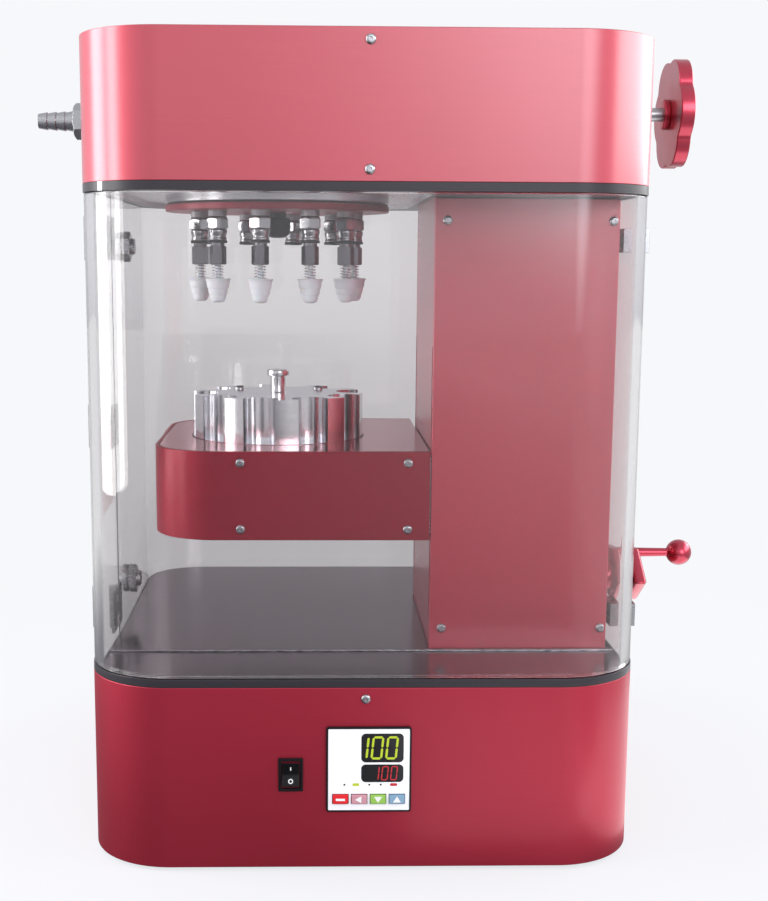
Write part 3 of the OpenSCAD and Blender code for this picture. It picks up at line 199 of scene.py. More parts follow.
def seat(item, body, slot, *nodes):
    """The piece moves with a body and stands for CAD nodes, which it hides; its slot is not used."""
    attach(item, body)
    if nodes:
        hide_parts(*nodes)
    return item


def start_tree(name, inputs):
    """A geometry node tree with named inputs: the tree, its inputs, and what a modifier calls each of them."""
    tree = bpy.data.node_groups.new(name, "GeometryNodeTree")
    called = {socket: tree.interface.new_socket(socket, in_out="INPUT", socket_type="NodeSocket" + kind).identifier
              for socket, kind in inputs.items()}
    tree.interface.new_socket("Made", in_out="OUTPUT", socket_type="NodeSocketGeometry")
    return tree, add(tree, "NodeGroupInput").outputs, called


def end_tree(tree, shape, finish):
    """Make a tree's copies real, give them their finish and hand them out."""
    whole = add(tree, "GeometryNodeRealizeInstances", {"Geometry": shape})
    coated = add(tree, "GeometryNodeSetMaterial", {"Geometry": whole, "Material": finish})
    add(tree, "NodeGroupOutput", {"Made": coated})


def grow(item, tree, called, values):
    """Let a node tree make an object's mesh from given values, and keep that mesh."""
    laid = item.modifiers.new(tree.name, "NODES")
    laid.node_group = tree
    for socket, value in values.items():
        laid[called[socket]] = value
    return bake(item)


copies, given, copies_called = start_tree(
    "set out copies", {"Points": "Geometry", "Shape": "Object", "Size": "Float", "Finish": "Material"})
drawn_shape = add(copies, "GeometryNodeObjectInfo", {"Object": given["Shape"]})
facing = add(copies, "GeometryNodeInputNamedAttribute", {"data_type": "FLOAT_VECTOR", "Name": "facing"})
turn = add(copies, "FunctionNodeAlignRotationToVector", {"axis": "Z", "Vector": facing})
stood = add(copies, "GeometryNodeInstanceOnPoints", {
    "Points": given["Points"], "Instance": drawn_shape.outputs["Geometry"],
    "Rotation": turn, "Scale": given["Size"]})
end_tree(copies, stood, given["Finish"])


def set_out(name, shape, spots, finish, size=1.0):
    """Copies of a shape object as one mesh: each spot is a point in millimetres and the way it faces."""
    points = bpy.data.meshes.new(name)
    points.from_pydata([[c / 1000 for c in at] for at, way in spots], [], [])
    ways = points.attributes.new("facing", "FLOAT_VECTOR", "POINT")
    ways.data.foreach_set("vector", [float(c) for at, way in spots for c in way])
    return grow(put(name, points), copies, copies_called, {"Shape": shape, "Size": size, "Finish": finish})


# Moulded rubber with a faint bloom: a dull, slightly clouded black.
rubber = grained("black rubber", {"Base Color": linear("#17171a"), "IOR": 1.52}, 0.8,
                 gloss=(0.55, 0.75), relief=(0.15, 0.0001), detail=3.0)

UP = (0, 0, 1)
bumper = turned([(0, 2.2), (3.2, 2.2), (3.6, 1.4), (4.2, 0), (8.8, 0), (10, 0.5), (10.6, 1.6), (11, 6), (0, 6)])
bumper = form("bumper", bumper, rubber, ease=0.25)
feet = set_out("feet", bumper, [((0, 0, 0), UP)] + [((x, y, 0), UP) for x in (-101, 101) for y in (-88, 88)], rubber)
bpy.data.objects.remove(bumper)
seat(feet, "housing", "black_rubber", "feet")


# Base skirt: 3 mm aluminium sheet wrapped round the base, brushed along its length and dyed red by anodising.
# The oxide skin is clear and hard, so pale surroundings lie as a soft sheen over the red metal.
def rounded(x0, x1, y0, y1, r, steps=32):
    """Outline of a rectangle with round corners."""
    points = []
    for cx, cy, a0 in ((x1 - r, y0 + r, -90), (x1 - r, y1 - r, 0), (x0 + r, y1 - r, 90), (x0 + r, y0 + r, 180)):
        for i in range(steps + 1):
            a = math.radians(a0 + 90 * i / steps)
            points.append((cx + r * math.cos(a), cy + r * math.sin(a)))
    return points


def drawn(outline, low, high, inner=None, closed=True, lay=lambda u, v, w: (u, v, w), shape=None):
    """Extrude an outline between two levels; with an inner outline of as many points it is a wall."""
    shape = shape or bmesh.new()
    loops = [[[shape.verts.new(lay(u, v, w)) for u, v in line] for w in (low, high)]
             for line in (outline, inner) if line]
    count = len(outline)
    for a, b in loops:
        for i in range(count if closed else count - 1):
            j = (i + 1) % count
            shape.faces.new((a[i], a[j], b[j], b[i]))
    if inner:
        for level in (0, 1):
            a, b = loops[0][level], loops[1][level]
            for i in range(count if closed else count - 1):
                j = (i + 1) % count
                shape.faces.new((a[i], a[j], b[j], b[i]))
        if not closed:
            for i in (0, count - 1):
                shape.faces.new((loops[0][0][i], loops[0][1][i], loops[1][1][i], loops[1][0][i]))
    else:
        shape.faces.new(loops[0][0])
        shape.faces.new(loops[0][1])
    return shape


def variant(finish, name, coat=None, tints=None, gloss=None):
    """A copy of a finish with another coat weight, other tints or other roughnesses."""
    made = finish.copy()
    made.name = name
    shader = made.node_tree.nodes["Principled BSDF"]
    if coat is not None:
        shader.inputs["Coat Weight"].default_value = coat
    if tints:
        tint = shader.inputs["Base Color"].links[0].from_node
        tint.inputs[6].default_value, tint.inputs[7].default_value = linear(tints[0]), linear(tints[1])
    if gloss:
        rough = shader.inputs["Roughness"].links[0].from_node
        rough.inputs["To Min"].default_value, rough.inputs["To Max"].default_value = gloss
    return made


red, tree, spot = start_finish("red anodised aluminium", {
    "Metallic": 1.0, "Coat Weight": 1.0, "Coat Roughness": 0.26, "Coat IOR": 1.77})
# Brush strokes run level, 40 mm long and 0.7 mm apart, coarser than real ones; the dye clouds over 90 mm.
along = add(tree, "ShaderNodeMapping", {"Vector": spot, "Scale": (1 / 0.04, 1 / 0.04, 1 / 0.0007)})
stroke = add(tree, "ShaderNodeTexNoise", {"Vector": along, "Scale": 1.0, "Detail": 3.0})
cloud = add(tree, "ShaderNodeTexNoise", {"Vector": spot, "Scale": 1 / 0.09, "Detail": 1.0})
spread(red, cloud, tints=("#a5283b", "#b13044"))
spread(red, stroke, gloss=(0.5, 0.62), relief=(0.06, 0.0001))

outer_wall, inner_wall = rounded(-159, 159, -146, 146, 48), rounded(-156, 156, -143, 143, 45)
skirt = drawn(outer_wall, 2, 108.5, inner_wall)
# The base and the arm are sealed more thinly than the top housing, so they show less sheen; their deeper red is painted
# shade.
shaded_red = variant(red, "deep red anodised aluminium", coat=0.3, tints=("#9e2538", "#aa2c40"))
seat(form("base_skirt", skirt, shaded_red, ease=0.5), "housing", "red_anodised", "base_shell")


# Power switch: a snap-in rocker switch, moulded in black, with its frame lapping the cut-out in the skirt.
# The rocker has two dished halves with printed marks, and rests with its upper half pressed in.
def traced(node):
    """A copy of a CAD node's mesh as a shape in millimetres, merged and with its flat faces whole."""
    shape = bmesh.new()
    shape.from_mesh(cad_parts[node].data)
    bmesh.ops.scale(shape, vec=(1000, 1000, 1000), verts=shape.verts[:])
    bmesh.ops.remove_doubles(shape, verts=shape.verts[:], dist=0.002)
    bmesh.ops.dissolve_limit(shape, angle_limit=math.radians(1), verts=shape.verts[:], edges=shape.edges[:])
    return shape


def sideways(u, v, w):
    """Lay an outline of (Y, Z) points along X."""
    return (w, u, v)


def facing_front(u, v, w):
    """Lay an outline of (X, Z) points along Y."""
    return (u, w, v)


# Spark-eroded mould texture, drawn at 0.6 mm so that it shows.
moulded_black = grained("moulded black ABS", {"Base Color": linear("#0f0e10"), "Specular IOR Level": 0.2}, 0.6,
                        gloss=(0.36, 0.52), relief=(0.2, 0.0001))
seat(form("switch_frame", traced("switch_body"), moulded_black, ease=0.45, rounds=3), "housing", "black_plastic",
     "switch_body")

# Polished by handling: a deep black whose gloss changes in patches of about 4 mm.
gloss_black = grained("polished black nylon", {"Base Color": linear("#0e0d0f"), "Specular IOR Level": 0.15}, 4,
                      gloss=(0.16, 0.3))

# Screen-printed ink, a flat white with a mottle of 0.9 mm.
white_print = grained("white printing ink", {"Roughness": 0.5}, 0.9, tints=("#e4e4e2", "#f1f1ef"))

dished = [(-2.4 - 1.2 * t + 0.5 * t * (1 - t), 6.8 * t) for t in [i / 8 for i in range(9)]]
rocker = drawn([(y, -z) for y, z in dished[:0:-1]] + dished + [(2.75, 5.4), (5.5, 0), (2.75, -5.4)], -5, 5,
               lay=sideways)
marks = drawn([(-2.6, 2.4), (-2.8, 2.4), (-3.2, 4.4), (-3, 4.4)], -0.3, 0.3, lay=sideways)
circle = [(math.cos(2 * math.pi * i / 32), math.sin(2 * math.pi * i / 32)) for i in range(32)]
ring_out, ring_in = [[(r * c, -3.6 + r * s) for c, s in circle] for r in (1.35, 0.85)]
# The ring lies on the lower half's slope.
drawn(ring_out, -0.1, 0.05, ring_in, lay=lambda u, v, w: (u, -2.3 + 0.1807 * v - w, v), shape=marks)
tilt = Matrix.Translation((-42.3, -146, 57.9)) @ Matrix.Rotation(math.radians(-10), 4, "X")
for shape in (rocker, marks):
    bmesh.ops.transform(shape, matrix=tilt, verts=shape.verts[:])
seat(form("switch_rocker_face", rocker, gloss_black, ease=0.5, rounds=3), "rocker", "gloss_black", "switch_rocker")
seat(form("switch_marks", marks, white_print), "rocker", "gloss_black")


# Temperature controller: a square panel meter clipped into the skirt, with a black bezel round a white face.
# Two smoked windows show lit seven-segment figures; small lamps and four soft keys sit below them.
film_left, film_right, film_low, film_high = -21.1, 24.9, 37, 84.9
bezel = drawn(rounded(-22.2, 26, 35.9, 86, 1.5, 12), -148, -146,
              rounded(film_left, film_right, film_low, film_high, 0.6, 12), lay=facing_front)
drawn(rounded(-20.4, 24.2, 37.7, 82.3, 0.8, 12), -146.7, -86, lay=facing_front, shape=bezel)
bezel = form("controller_bezel", bezel, moulded_black, ease=0.25, rounds=3)
seat(bezel, "housing", "black_plastic", "controller_case")

# Film printed white from behind; its grain of 0.7 mm dulls the gloss.
white_face = grained("printed polycarbonate film", {"Coat Weight": 0.3, "Coat Roughness": 0.2}, 0.7,
                     tints=("#f3f4f6", "#fafafc"), gloss=(0.4, 0.55))

key_x = [-14.15, -3.45, 7.25, 17.95]
# The film is cut out for the keys: a piece above them, one below, and bars between.
keys_low, keys_high, key_half, film_front, film_back = 40.5, 46.7, 4.7, -147.85, -146.5
face = drawn(rounded(film_left, film_right, keys_high, film_high, 0.6, 6), film_front, film_back, lay=facing_front)
drawn(rounded(film_left, film_right, film_low, keys_low, 0.6, 6), film_front, film_back, lay=facing_front, shape=face)
for x0, x1 in zip([film_left] + [x + key_half for x in key_x], [x - key_half for x in key_x] + [film_right]):
    drawn([(x0, keys_low), (x1, keys_low), (x1, keys_high), (x0, keys_high)], film_front, film_back,
          lay=facing_front, shape=face)
seat(form("controller_face", face, white_face), "housing", "black_plastic")

# Smoked plastic: near black and smooth, with a haze about 6 mm across.
smoked = grained("smoked display window", {"IOR": 1.58}, 6,
                 tints=("#101012", "#19191c"), gloss=(0.12, 0.2), detail=1.0)
pane_front, pane_back = -147.95, -147
windows = drawn(rounded(-2.45, 21.5, 65.3, 82.3, 2.6, 10), pane_front, pane_back, lay=facing_front)
drawn(rounded(-2.45, 21.5, 53.6, 64.1, 2.6, 10), pane_front, pane_back, lay=facing_front, shape=windows)
for x in (-11.9, 2.2, 8.7):
    drawn(rounded(x - 0.55, x + 0.55, 51.55, 52.65, 0.3, 4), -147.9, pane_back, lay=facing_front, shape=windows)
seat(form("controller_windows", windows, smoked, ease=0.1), "housing", "gloss_black")


def lit_figures(figures, x, z, wide, high, stroke, pitch):
    """Seven-segment figures that lean to the right, each bar a flat six-sided strip."""
    shape = bmesh.new()
    lean = math.tan(math.radians(5.5))
    mid = high / 2
    ends = {"a": (0, high, wide, high), "b": (wide, high, wide, mid), "c": (wide, mid, wide, 0), "d": (0, 0, wide, 0),
            "e": (0, 0, 0, mid), "f": (0, mid, 0, high)}
    for i, figure in enumerate(figures):
        for bar in {"0": "abcdef", "1": "bc"}[figure]:
            u0, v0, u1, v1 = ends[bar]
            long = math.hypot(u1 - u0, v1 - v0)
            du, dv = (u1 - u0) / long, (v1 - v0) / long
            half, gap = stroke / 2, stroke * 0.12
            strip = [(gap, 0), (gap + half, half), (long - gap - half, half), (long - gap, 0),
                     (long - gap - half, -half), (gap + half, -half)]
            line = [(u0 + s * du - t * dv, v0 + s * dv + t * du) for s, t in strip]
            line = [(x + i * pitch + u + v * lean, z + v) for u, v in line]
            drawn(line, -148.02, -147.9, lay=facing_front, shape=shape)
    return shape


# Lit plastic bars, a little uneven in brightness over about 2 mm.
lamps = {}
for name, core, halo, strength in (("green", "#d6ea2c", "#cbe024", 0.85), ("red", "#e02636", "#d21c2c", 0.85)):
    glow, tree, spot = start_finish(name + " display lamp", {
        "Base Color": linear("#141414"), "Roughness": 0.4, "Emission Strength": strength})
    uneven = add(tree, "ShaderNodeTexNoise", {"Vector": spot, "Scale": 1 / 0.002, "Detail": 1.0})
    light = add(tree, "ShaderNodeMix", {"data_type": "RGBA", 0: uneven, 6: linear(core), 7: linear(halo)})
    tree.links.new(light.outputs[2], tree.nodes["Principled BSDF"].inputs["Emission Color"])
    lamps[name] = glow
figures = lit_figures("100", -4.9, 67.7, 5.4, 12.4, 1.25, 8.25)
drawn([(-7.5, 52.15), (-6.8, 51.35), (-3.6, 51.35), (-3.6, 52.95), (-6.8, 52.95)], pane_front, pane_back,
      lay=facing_front, shape=figures)
seat(form("display_green", figures, lamps["green"]), "housing", "gloss_black")
figures = lit_figures("100", 3.9, 55.1, 3.2, 7.7, 0.65, 5.15)
drawn(rounded(13.95, 18.1, 51.35, 52.95, 0.75, 6), pane_front, pane_back, lay=facing_front, shape=figures)
seat(form("display_red", figures, lamps["red"]), "housing", "gloss_black")

for name, slot, x, colour, worn, sign in zip(
        ("key_set", "key_left", "key_down", "key_up"), ("key_red", "key_pink", "key_green", "key_blue"), key_x,
        ("#d8141f", "#c48a96", "#8ab94a", "#7a9ab5"), ("#e2202a", "#cc949f", "#95c158", "#86a4bd"),
        ([(-2.6, -0.7), (2.6, -0.7), (2.6, 0.7), (-2.6, 0.7)], [(-2.4, 0), (1.2, 2), (1.2, -2)],
         [(0, -1.9), (2.3, 1.7), (-2.3, 1.7)], [(0, 1.9), (-2.3, -1.7), (2.3, -1.7)])):
    # Silicone rubber, dull, and a little lighter where fingers touch it.
    soft = grained("silicone " + name, {"IOR": 1.45}, 3, tints=(colour, worn), gloss=(0.4, 0.6))
    pad = drawn(rounded(x - 4.3, x + 4.3, 41.1, 46.1, 0.4, 6), -149, -146, lay=facing_front)
    seat(form(name + "_pad", pad, soft, ease=0.3, rounds=3), name, slot, name)
    mark = drawn([(x + u, 43.6 + v) for u, v in sign], -149.06, -148.9, lay=facing_front)
    seat(form(name + "_mark", mark, white_print), name, slot)


# Mains inlet: a moulded three-pin appliance inlet in the back of the base, held by two screws.
# Its shroud is black thermoplastic; the pins are bright metal.
def refinish(item, finish, chosen):
    """Give some faces another finish, chosen by where they are in millimetres and which way they look."""
    item.data.materials.append(finish)
    for face in item.data.polygons:
        if chosen(face.center * 1000, face.normal):
            face.material_index = 1


# The steel is drawn and tumbled: fine level lines, 0.3 mm apart and 6 mm long, coarser than the real ones.
steel = grained("bright stainless steel", {"Metallic": 1.0}, (6, 6, 0.3),
                tints=("#97979b", "#ababad"), gloss=(0.2, 0.34))

inlet_x = (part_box("power_inlet")[0][0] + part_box("power_inlet")[1][0]) * 500
inlet = form("inlet_shroud", traced("power_inlet"), moulded_black, ease=0.4, rounds=3)
refinish(inlet, steel, lambda at, way: 129.3 < at.y < 140.5 and abs(at.z - 50) < 2.2
         and min(abs(at.x - inlet_x - 7 * i) for i in (-1, 0, 1)) < 1.2)
seat(inlet, "housing", "black_plastic", "power_inlet")


# Deck plate: dark anodised aluminium whose edge shows as a strip between the skirt and the clear covers.
# It is milled with a rim inside the skirt and seats for the guide rods; its top is the chamber's floor.
# Blasted before it was dyed: an even dark grey with a grain of 0.8 mm.
dark_plate = grained("dark anodised aluminium", {"IOR": 1.4}, 0.8, tints=("#28252a", "#322f34"), gloss=(0.28, 0.4))
deck = form("deck", traced("deck_plate"), dark_plate, ease=0.3)
seat(deck, "housing", "dark_plate", "deck_plate")


# Floor tray: thin polished sheet laid on the deck and cut round the column; the deck's top is polished to match.
# It is dark and mirror-smooth, with faint rolling streaks from front to back, 9 mm wide and as long as the sheet.
polished_dark = grained("polished dark sheet", {"Metallic": 1.0}, (9, 300, 1000),
                        tints=("#6f6068", "#7e6c73"), gloss=(0.12, 0.24), detail=3.0)
tray = form("floor_sheet", traced("floor_tray"), polished_dark, ease=0.35)
# The cut edges are bare metal.
refinish(tray, steel, lambda at, way: abs(way.z) < 0.9)
seat(tray, "housing", "steel_tray", "floor_tray")
refinish(deck, polished_dark, lambda at, way: way.z > 0.9)


# Column: a folded aluminium channel between deck and roof, closed by a panel on four screws.
# Both are red anodised; the channel has two slots in its left wall for the arm's side plates.
seat(form("column_channel", traced("column_frame"), red, ease=0.3), "housing", "red_anodised", "column_frame")
panel = drawn([(40.3, -84), (149.3, -84), (149.3, -81), (40.3, -81)], 113.3, 381.4)
seat(form("column_front", panel, red, ease=0.7, rounds=3), "housing", "red_anodised", "column_panel")


# Lift inside the column: hard-chromed rods, bronze bushes and bearings, a milled slide with the arm's plates,
# and a rack driven by the pinion on the lever's shaft. It shows only through the slots and from the back.
# Chrome is a bright mirror with faint smears, about 5 mm across.
chrome = grained("polished chrome", {"Metallic": 1.0}, 5, tints=("#d4d4d7", "#e0e0e2"), gloss=(0.06, 0.14))

# Bronze is warm, with a thin tarnish in patches of about 6 mm.
bronze = grained("turned bronze", {"Metallic": 1.0}, 6, tints=("#b5894d", "#c8a062"), gloss=(0.25, 0.4), detail=3.0)

milled, tree, spot = start_finish("milled aluminium", {"Metallic": 1.0})
# Cutter marks about 1.2 mm apart.
feed = add(tree, "ShaderNodeTexWave", {"Vector": spot, "bands_direction": "DIAGONAL", "Scale": 0.31 / 0.0012,
                                       "Distortion": 1.5, "Detail": 2.0})
spread(milled, feed, tints=("#c9cacd", "#d4d5d8"), gloss=(0.24, 0.34))
dress(chrome, "guide_rods")
dress(bronze, "shaft_bearings", "slide_bushes")
dress(milled, "carriage")
dress(steel, "pinion_shaft", "lift_rack")


# Lever: a faceted bar milled from plate, chamfered all round, lightly buffed and red anodised, on the pinion's shaft.
# Its handle is turned in one piece, a tapered rod that ends in a ball.
# Buffing leaves faint clouds, about 12 mm across.
satin_red = grained("satin red anodised aluminium", {
    "Metallic": 1.0, "Coat Weight": 0.42, "Coat Roughness": 0.2, "Coat IOR": 1.77}, 12,
    tints=("#a3253a", "#ae2d43"), gloss=(0.28, 0.38))

shaft_y, shaft_z, handle_y, ball_x, ball_r = -38, 149, 29, 221, 8.7
bar = drawn([(-63, shaft_z), (shaft_y, 132), (handle_y, 140), (42, shaft_z), (handle_y, 158), (shaft_y, 166)],
            169.5, 177.5, lay=sideways)
turned([(0, 160), (9, 160), (9, 169.6), (0, 169.6)], 64, (0, shaft_y, shaft_z), "X", shape=bar)
seat(form("lever_bar", bar, satin_red, ease=1.5, rounds=1, crease=20), "crank", "red_anodised", "crank_arm")
handle = [(0, 177), (3.4, 177), (2.75, 212.3), (3.1, 212.8), (3.9, 213.3)]
handle += [(ball_r * math.sin(a), ball_x - ball_r * math.cos(a))
           for a in [math.radians(32 + 148 * i / 24) for i in range(24)]]
ball = turned(handle + [(0, ball_x + ball_r)], 56, (0, handle_y, shaft_z), "X")
seat(form("lever_handle", ball, satin_red), "crank", "red_anodised", "crank_handle")


# Arm: a red anodised strip wrapped round the arm's floor and side plates, with a buffed red plate on top.
# The plate has a round opening that the block stands in.
def bent_wall(x0, x1, y0, y1, r, t, low, high, steps=32, lay=lambda u, v, w: (u, v, w)):
    """A wall open towards +X, with round corners at its closed end."""
    lines = []
    for d in (0, t):
        line = [(x1, y0 + d)]
        for cy, a0 in ((y0 + r, 270), (y1 - r, 180)):
            for i in range(steps + 1):
                a = math.radians(a0 - 90 * i / steps)
                line.append((x0 + r + (r - d) * math.cos(a), cy + (r - d) * math.sin(a)))
        lines.append(line + [(x1, y1 - d)])
    return drawn(lines[0], low, high, lines[1], closed=False, lay=lay)


wrap = bent_wall(-127.5, 39.6, -84, 92, 40, 2.5, 180.5, 233.8)
# The strip's darkest red is painted shade, for the shade inside the covers under the top housing; the plate is sealed
# thinly, like the base.
darkest_shaded_red = variant(shaded_red, "darkest red anodised aluminium", tints=("#861e2e", "#912435"))
seat(form("arm_wrap", wrap, darkest_shaded_red, ease=0.5, rounds=3), "arm", "red_anodised", "arm_cover")
plate_red = variant(satin_red, "buffed red anodised plate", coat=0.15, gloss=(0.14, 0.22))
seat(form("arm_plate", traced("arm_top"), plate_red, ease=0.4), "arm", "red_anodised", "arm_top")
dress(milled, "heater_plate")


# Heated block: a turned aluminium disc with ten bored pockets that break through its rim, lapped after boring.
# Geometry nodes cut the ring of pockets; a chrome post in the middle lifts it out.
# Turning lines run level round the rim, 0.5 mm apart.
lapped = grained("lapped aluminium", {"Metallic": 1.0}, (30, 30, 0.5),
                 tints=("#d8d8dc", "#e0e0e3"), gloss=(0.1, 0.2), relief=(0.05, 0.0001))

# The block and the manifold share one upright axis, with ten places on a circle round it.
axis_x, place_r, place_turn = -52.5, 49, -11
on_axis = (axis_x, 0, 0)
pockets, given, pockets_called = start_tree("ring of pockets", {
    "Radius": "Float", "Height": "Float", "Pocket radius": "Float", "Pocket depth": "Float", "Circle radius": "Float",
    "Pockets": "Int", "First turn": "Float", "Foot": "Vector", "Finish": "Material"})
disc = add(pockets, "GeometryNodeMeshCylinder", {"Vertices": 240, "Radius": given["Radius"], "Depth": given["Height"]})
half = add(pockets, "ShaderNodeMath", {"operation": "MULTIPLY", 0: given["Height"], 1: 0.5})
lift = add(pockets, "ShaderNodeCombineXYZ", {"Z": half})
disc = add(pockets, "GeometryNodeTransform", {"Geometry": disc, "Translation": lift})
# Each cutter is twice as deep as its pocket and stands half above the block's top.
depth = add(pockets, "ShaderNodeMath", {"operation": "MULTIPLY", 0: given["Pocket depth"], 1: 2.0})
cutter = add(pockets, "GeometryNodeMeshCylinder", {
    "Vertices": 96, "Radius": given["Pocket radius"], "Depth": depth})
circle = add(pockets, "GeometryNodeMeshCircle", {"Vertices": given["Pockets"], "Radius": given["Circle radius"]})
twist = add(pockets, "ShaderNodeCombineXYZ", {"Z": given["First turn"]})
top = add(pockets, "ShaderNodeCombineXYZ", {"Z": given["Height"]})
circle = add(pockets, "GeometryNodeTransform", {
    "Geometry": circle, "Translation": top, "Rotation": twist})
cutters = add(pockets, "GeometryNodeInstanceOnPoints", {
    "Points": circle, "Instance": cutter})
cutters = add(pockets, "GeometryNodeRealizeInstances", {"Geometry": cutters})
bored = add(pockets, "GeometryNodeMeshBoolean", {
    "operation": "DIFFERENCE", "solver": "EXACT", "Mesh 1": disc,
    "Mesh 2": cutters})
placed = add(pockets, "GeometryNodeTransform", {"Geometry": bored, "Translation": given["Foot"]})
end_tree(pockets, placed, given["Finish"])
block = grow(put("bored_block", bpy.data.meshes.new("bored_block")), pockets, pockets_called, {
    "Radius": 0.0547, "Height": 0.0334, "Pocket radius": 0.011, "Pocket depth": 0.0272, "Circle radius": place_r / 1000,
    "Pockets": 10, "First turn": math.radians(place_turn - 90), "Foot": (axis_x / 1000, 0, 0.228), "Finish": lapped})
shape = bmesh.new()
shape.from_mesh(block.data)
bmesh.ops.scale(shape, vec=(1000, 1000, 1000), verts=shape.verts[:])
bpy.data.objects.remove(block)
seat(form("heated_block", shape, lapped, ease=0.35), "arm", "aluminium", "heat_block")

post = turned([(0, 261.4), (5.4, 261.4), (4.9, 262), (4.9, 271), (5.3, 272), (7, 272.2), (7.3, 272.8), (7.3, 275),
               (6.9, 275.7), (6, 276), (0, 276)], 56, on_axis)
seat(form("lifting_post", post, chrome, ease=0.15), "arm", "chrome", "block_post")


# Roof plate: the deck's counterpart over the chamber, of the same dark anodised aluminium.
# Its edge is the strip under the top housing; its underside is milled out round the manifold and coated pale grey.
recess = drawn(rounded(-147, 37, -134, 134, 36), 380, 385.4)
roof = form("roof", traced("roof_plate"), dark_plate, ease=0.3, cuts=[recess])
# The coating lies with a fine orange-peel skin of about 1.2 mm.
pale_coat = grained("pale grey coating", {"IOR": 1.6}, 1.2, tints=("#dcdcdf", "#e6e6e8"), gloss=(0.22, 0.34))
refinish(roof, pale_coat, lambda at, way: 382.1 < at.z < 385.6 and -147.5 < at.x < 37.5 and abs(at.y) < 134.5)
seat(roof, "housing", "dark_plate", "roof_plate")


# Manifold: a turned aluminium disc under the ceiling, with a red anodised plug plate clamped below it.
# A black gasket lies in the groove between the two; a moulded knob in the middle holds the plate up.
turned_disc, tree, spot = start_finish("face-turned aluminium", {"Metallic": 1.0})
# Turning rings about the manifold's axis, 0.8 mm apart.
centre = add(tree, "ShaderNodeMapping", {"Vector": spot, "Location": (-axis_x / 1000, 0, 0)})
rings = add(tree, "ShaderNodeTexWave", {"Vector": centre, "wave_type": "RINGS", "rings_direction": "Z",
                                        "Scale": 0.31 / 0.0008, "Distortion": 0.6, "Detail": 2.0})
spread(turned_disc, rings, tints=("#d3d4d7", "#dfe0e2"), gloss=(0.2, 0.32))
disc = turned([(0, 377.6), (67.5, 377.6), (67.5, 380.2), (70, 380.2), (70.5, 380.6), (70.5, 385.4), (0, 385.4)],
              160, on_axis)
seat(form("manifold", disc, turned_disc), "housing", "aluminium", "manifold_disc")
gasket = turned([(67.2, 379.2), (69.6, 379.2), (69.9, 379.7), (69.6, 380.2), (67.2, 380.2)], 160, on_axis, closed=True)
seat(form("manifold_gasket", gasket, rubber), "housing", "black_rubber")
plate = turned([(0, 375.2), (70, 375.2), (70.5, 375.6), (70.5, 378.8), (70.1, 379.2), (67.6, 379.2), (67.6, 377.6),
                (0, 377.6)], 160, on_axis)
# The plug plate takes the darkest red as well, which is painted shade.
seat(form("red_plug_plate", plate, darkest_shaded_red), "housing", "red_anodised", "plug_plate")

# Wood flour filler, in grains of about 0.5 mm.
phenolic = grained("black phenolic", {"Base Color": linear("#0d0c0d"), "Specular IOR Level": 0.2}, 0.5,
                   gloss=(0.4, 0.55))
knob = turned([(0, 359.4), (3.2, 359.5), (5.2, 360), (6.8, 361.1), (7.8, 362.7), (8.2, 364.6), (8.2, 370.4),
               (7.8, 371.4), (6.8, 371.9), (5.5, 372), (5.5, 375.3), (0, 375.3)], 56, on_axis)
seat(form("clamp_grip", knob, phenolic), "clamp", "black_plastic", "clamp_knob")


# Couplers: ten nickel-plated couplings screwed up through the plug plate, each with a hexagon and a black ring,
# and six with a hexagon sleeve below it. One is turned and filed here, and geometry nodes set out the circle.
def hexagon(corner, low, high, steps=8, chamfer=0.55, shape=None):
    """A hexagon whose corners are cut back by a cone at both ends, as on a nut."""
    shape = shape or bmesh.new()
    flat = corner * math.cos(math.pi / 6)
    rings = [[], [], [], []]
    for i in range(6 * steps):
        a = 2 * math.pi * i / (6 * steps)
        r = flat / math.cos((a % (math.pi / 3)) - math.pi / 6)
        drop = max(0.0, r - flat * 0.985) * chamfer
        for ring, (rr, z) in zip(rings, ((flat * 0.985, low), (r, low + drop), (r, high - drop), (flat * 0.985, high))):
            ring.append(shape.verts.new((rr * math.cos(a), rr * math.sin(a), z)))
    for a, b in zip(rings, rings[1:]):
        for i in range(6 * steps):
            j = (i + 1) % (6 * steps)
            shape.faces.new((a[i], a[j], b[j], b[i]))
    shape.faces.new(rings[0])
    shape.faces.new(rings[3])
    return shape


places = []
for i in range(10):
    a = math.radians(place_turn + 36 * i)
    places.append((axis_x + place_r * math.sin(a), -place_r * math.cos(a)))
# The four places at the back are spare; the rest carry plugs, counted from left to right.
plugged = places[8:] + places[:4]

# Bead blasted: an even grey with a frosted grain of 0.6 mm.
blasted = grained("blasted nickel plate", {"Metallic": 1.0}, 0.6, tints=("#9b9a9c", "#a9a8aa"), gloss=(0.5, 0.65))

# Filing lines run up the flats, 0.25 mm apart.
nickel = grained("dark nickel plate", {"Metallic": 1.0}, (0.25, 0.25, 8),
                 tints=("#646167", "#777478"), gloss=(0.08, 0.16))

# The fittings are nickelled, a shade darker than chrome.
bright_nickel = variant(chrome, "bright nickel plate", tints=("#9a9a9d", "#a4a4a6"))

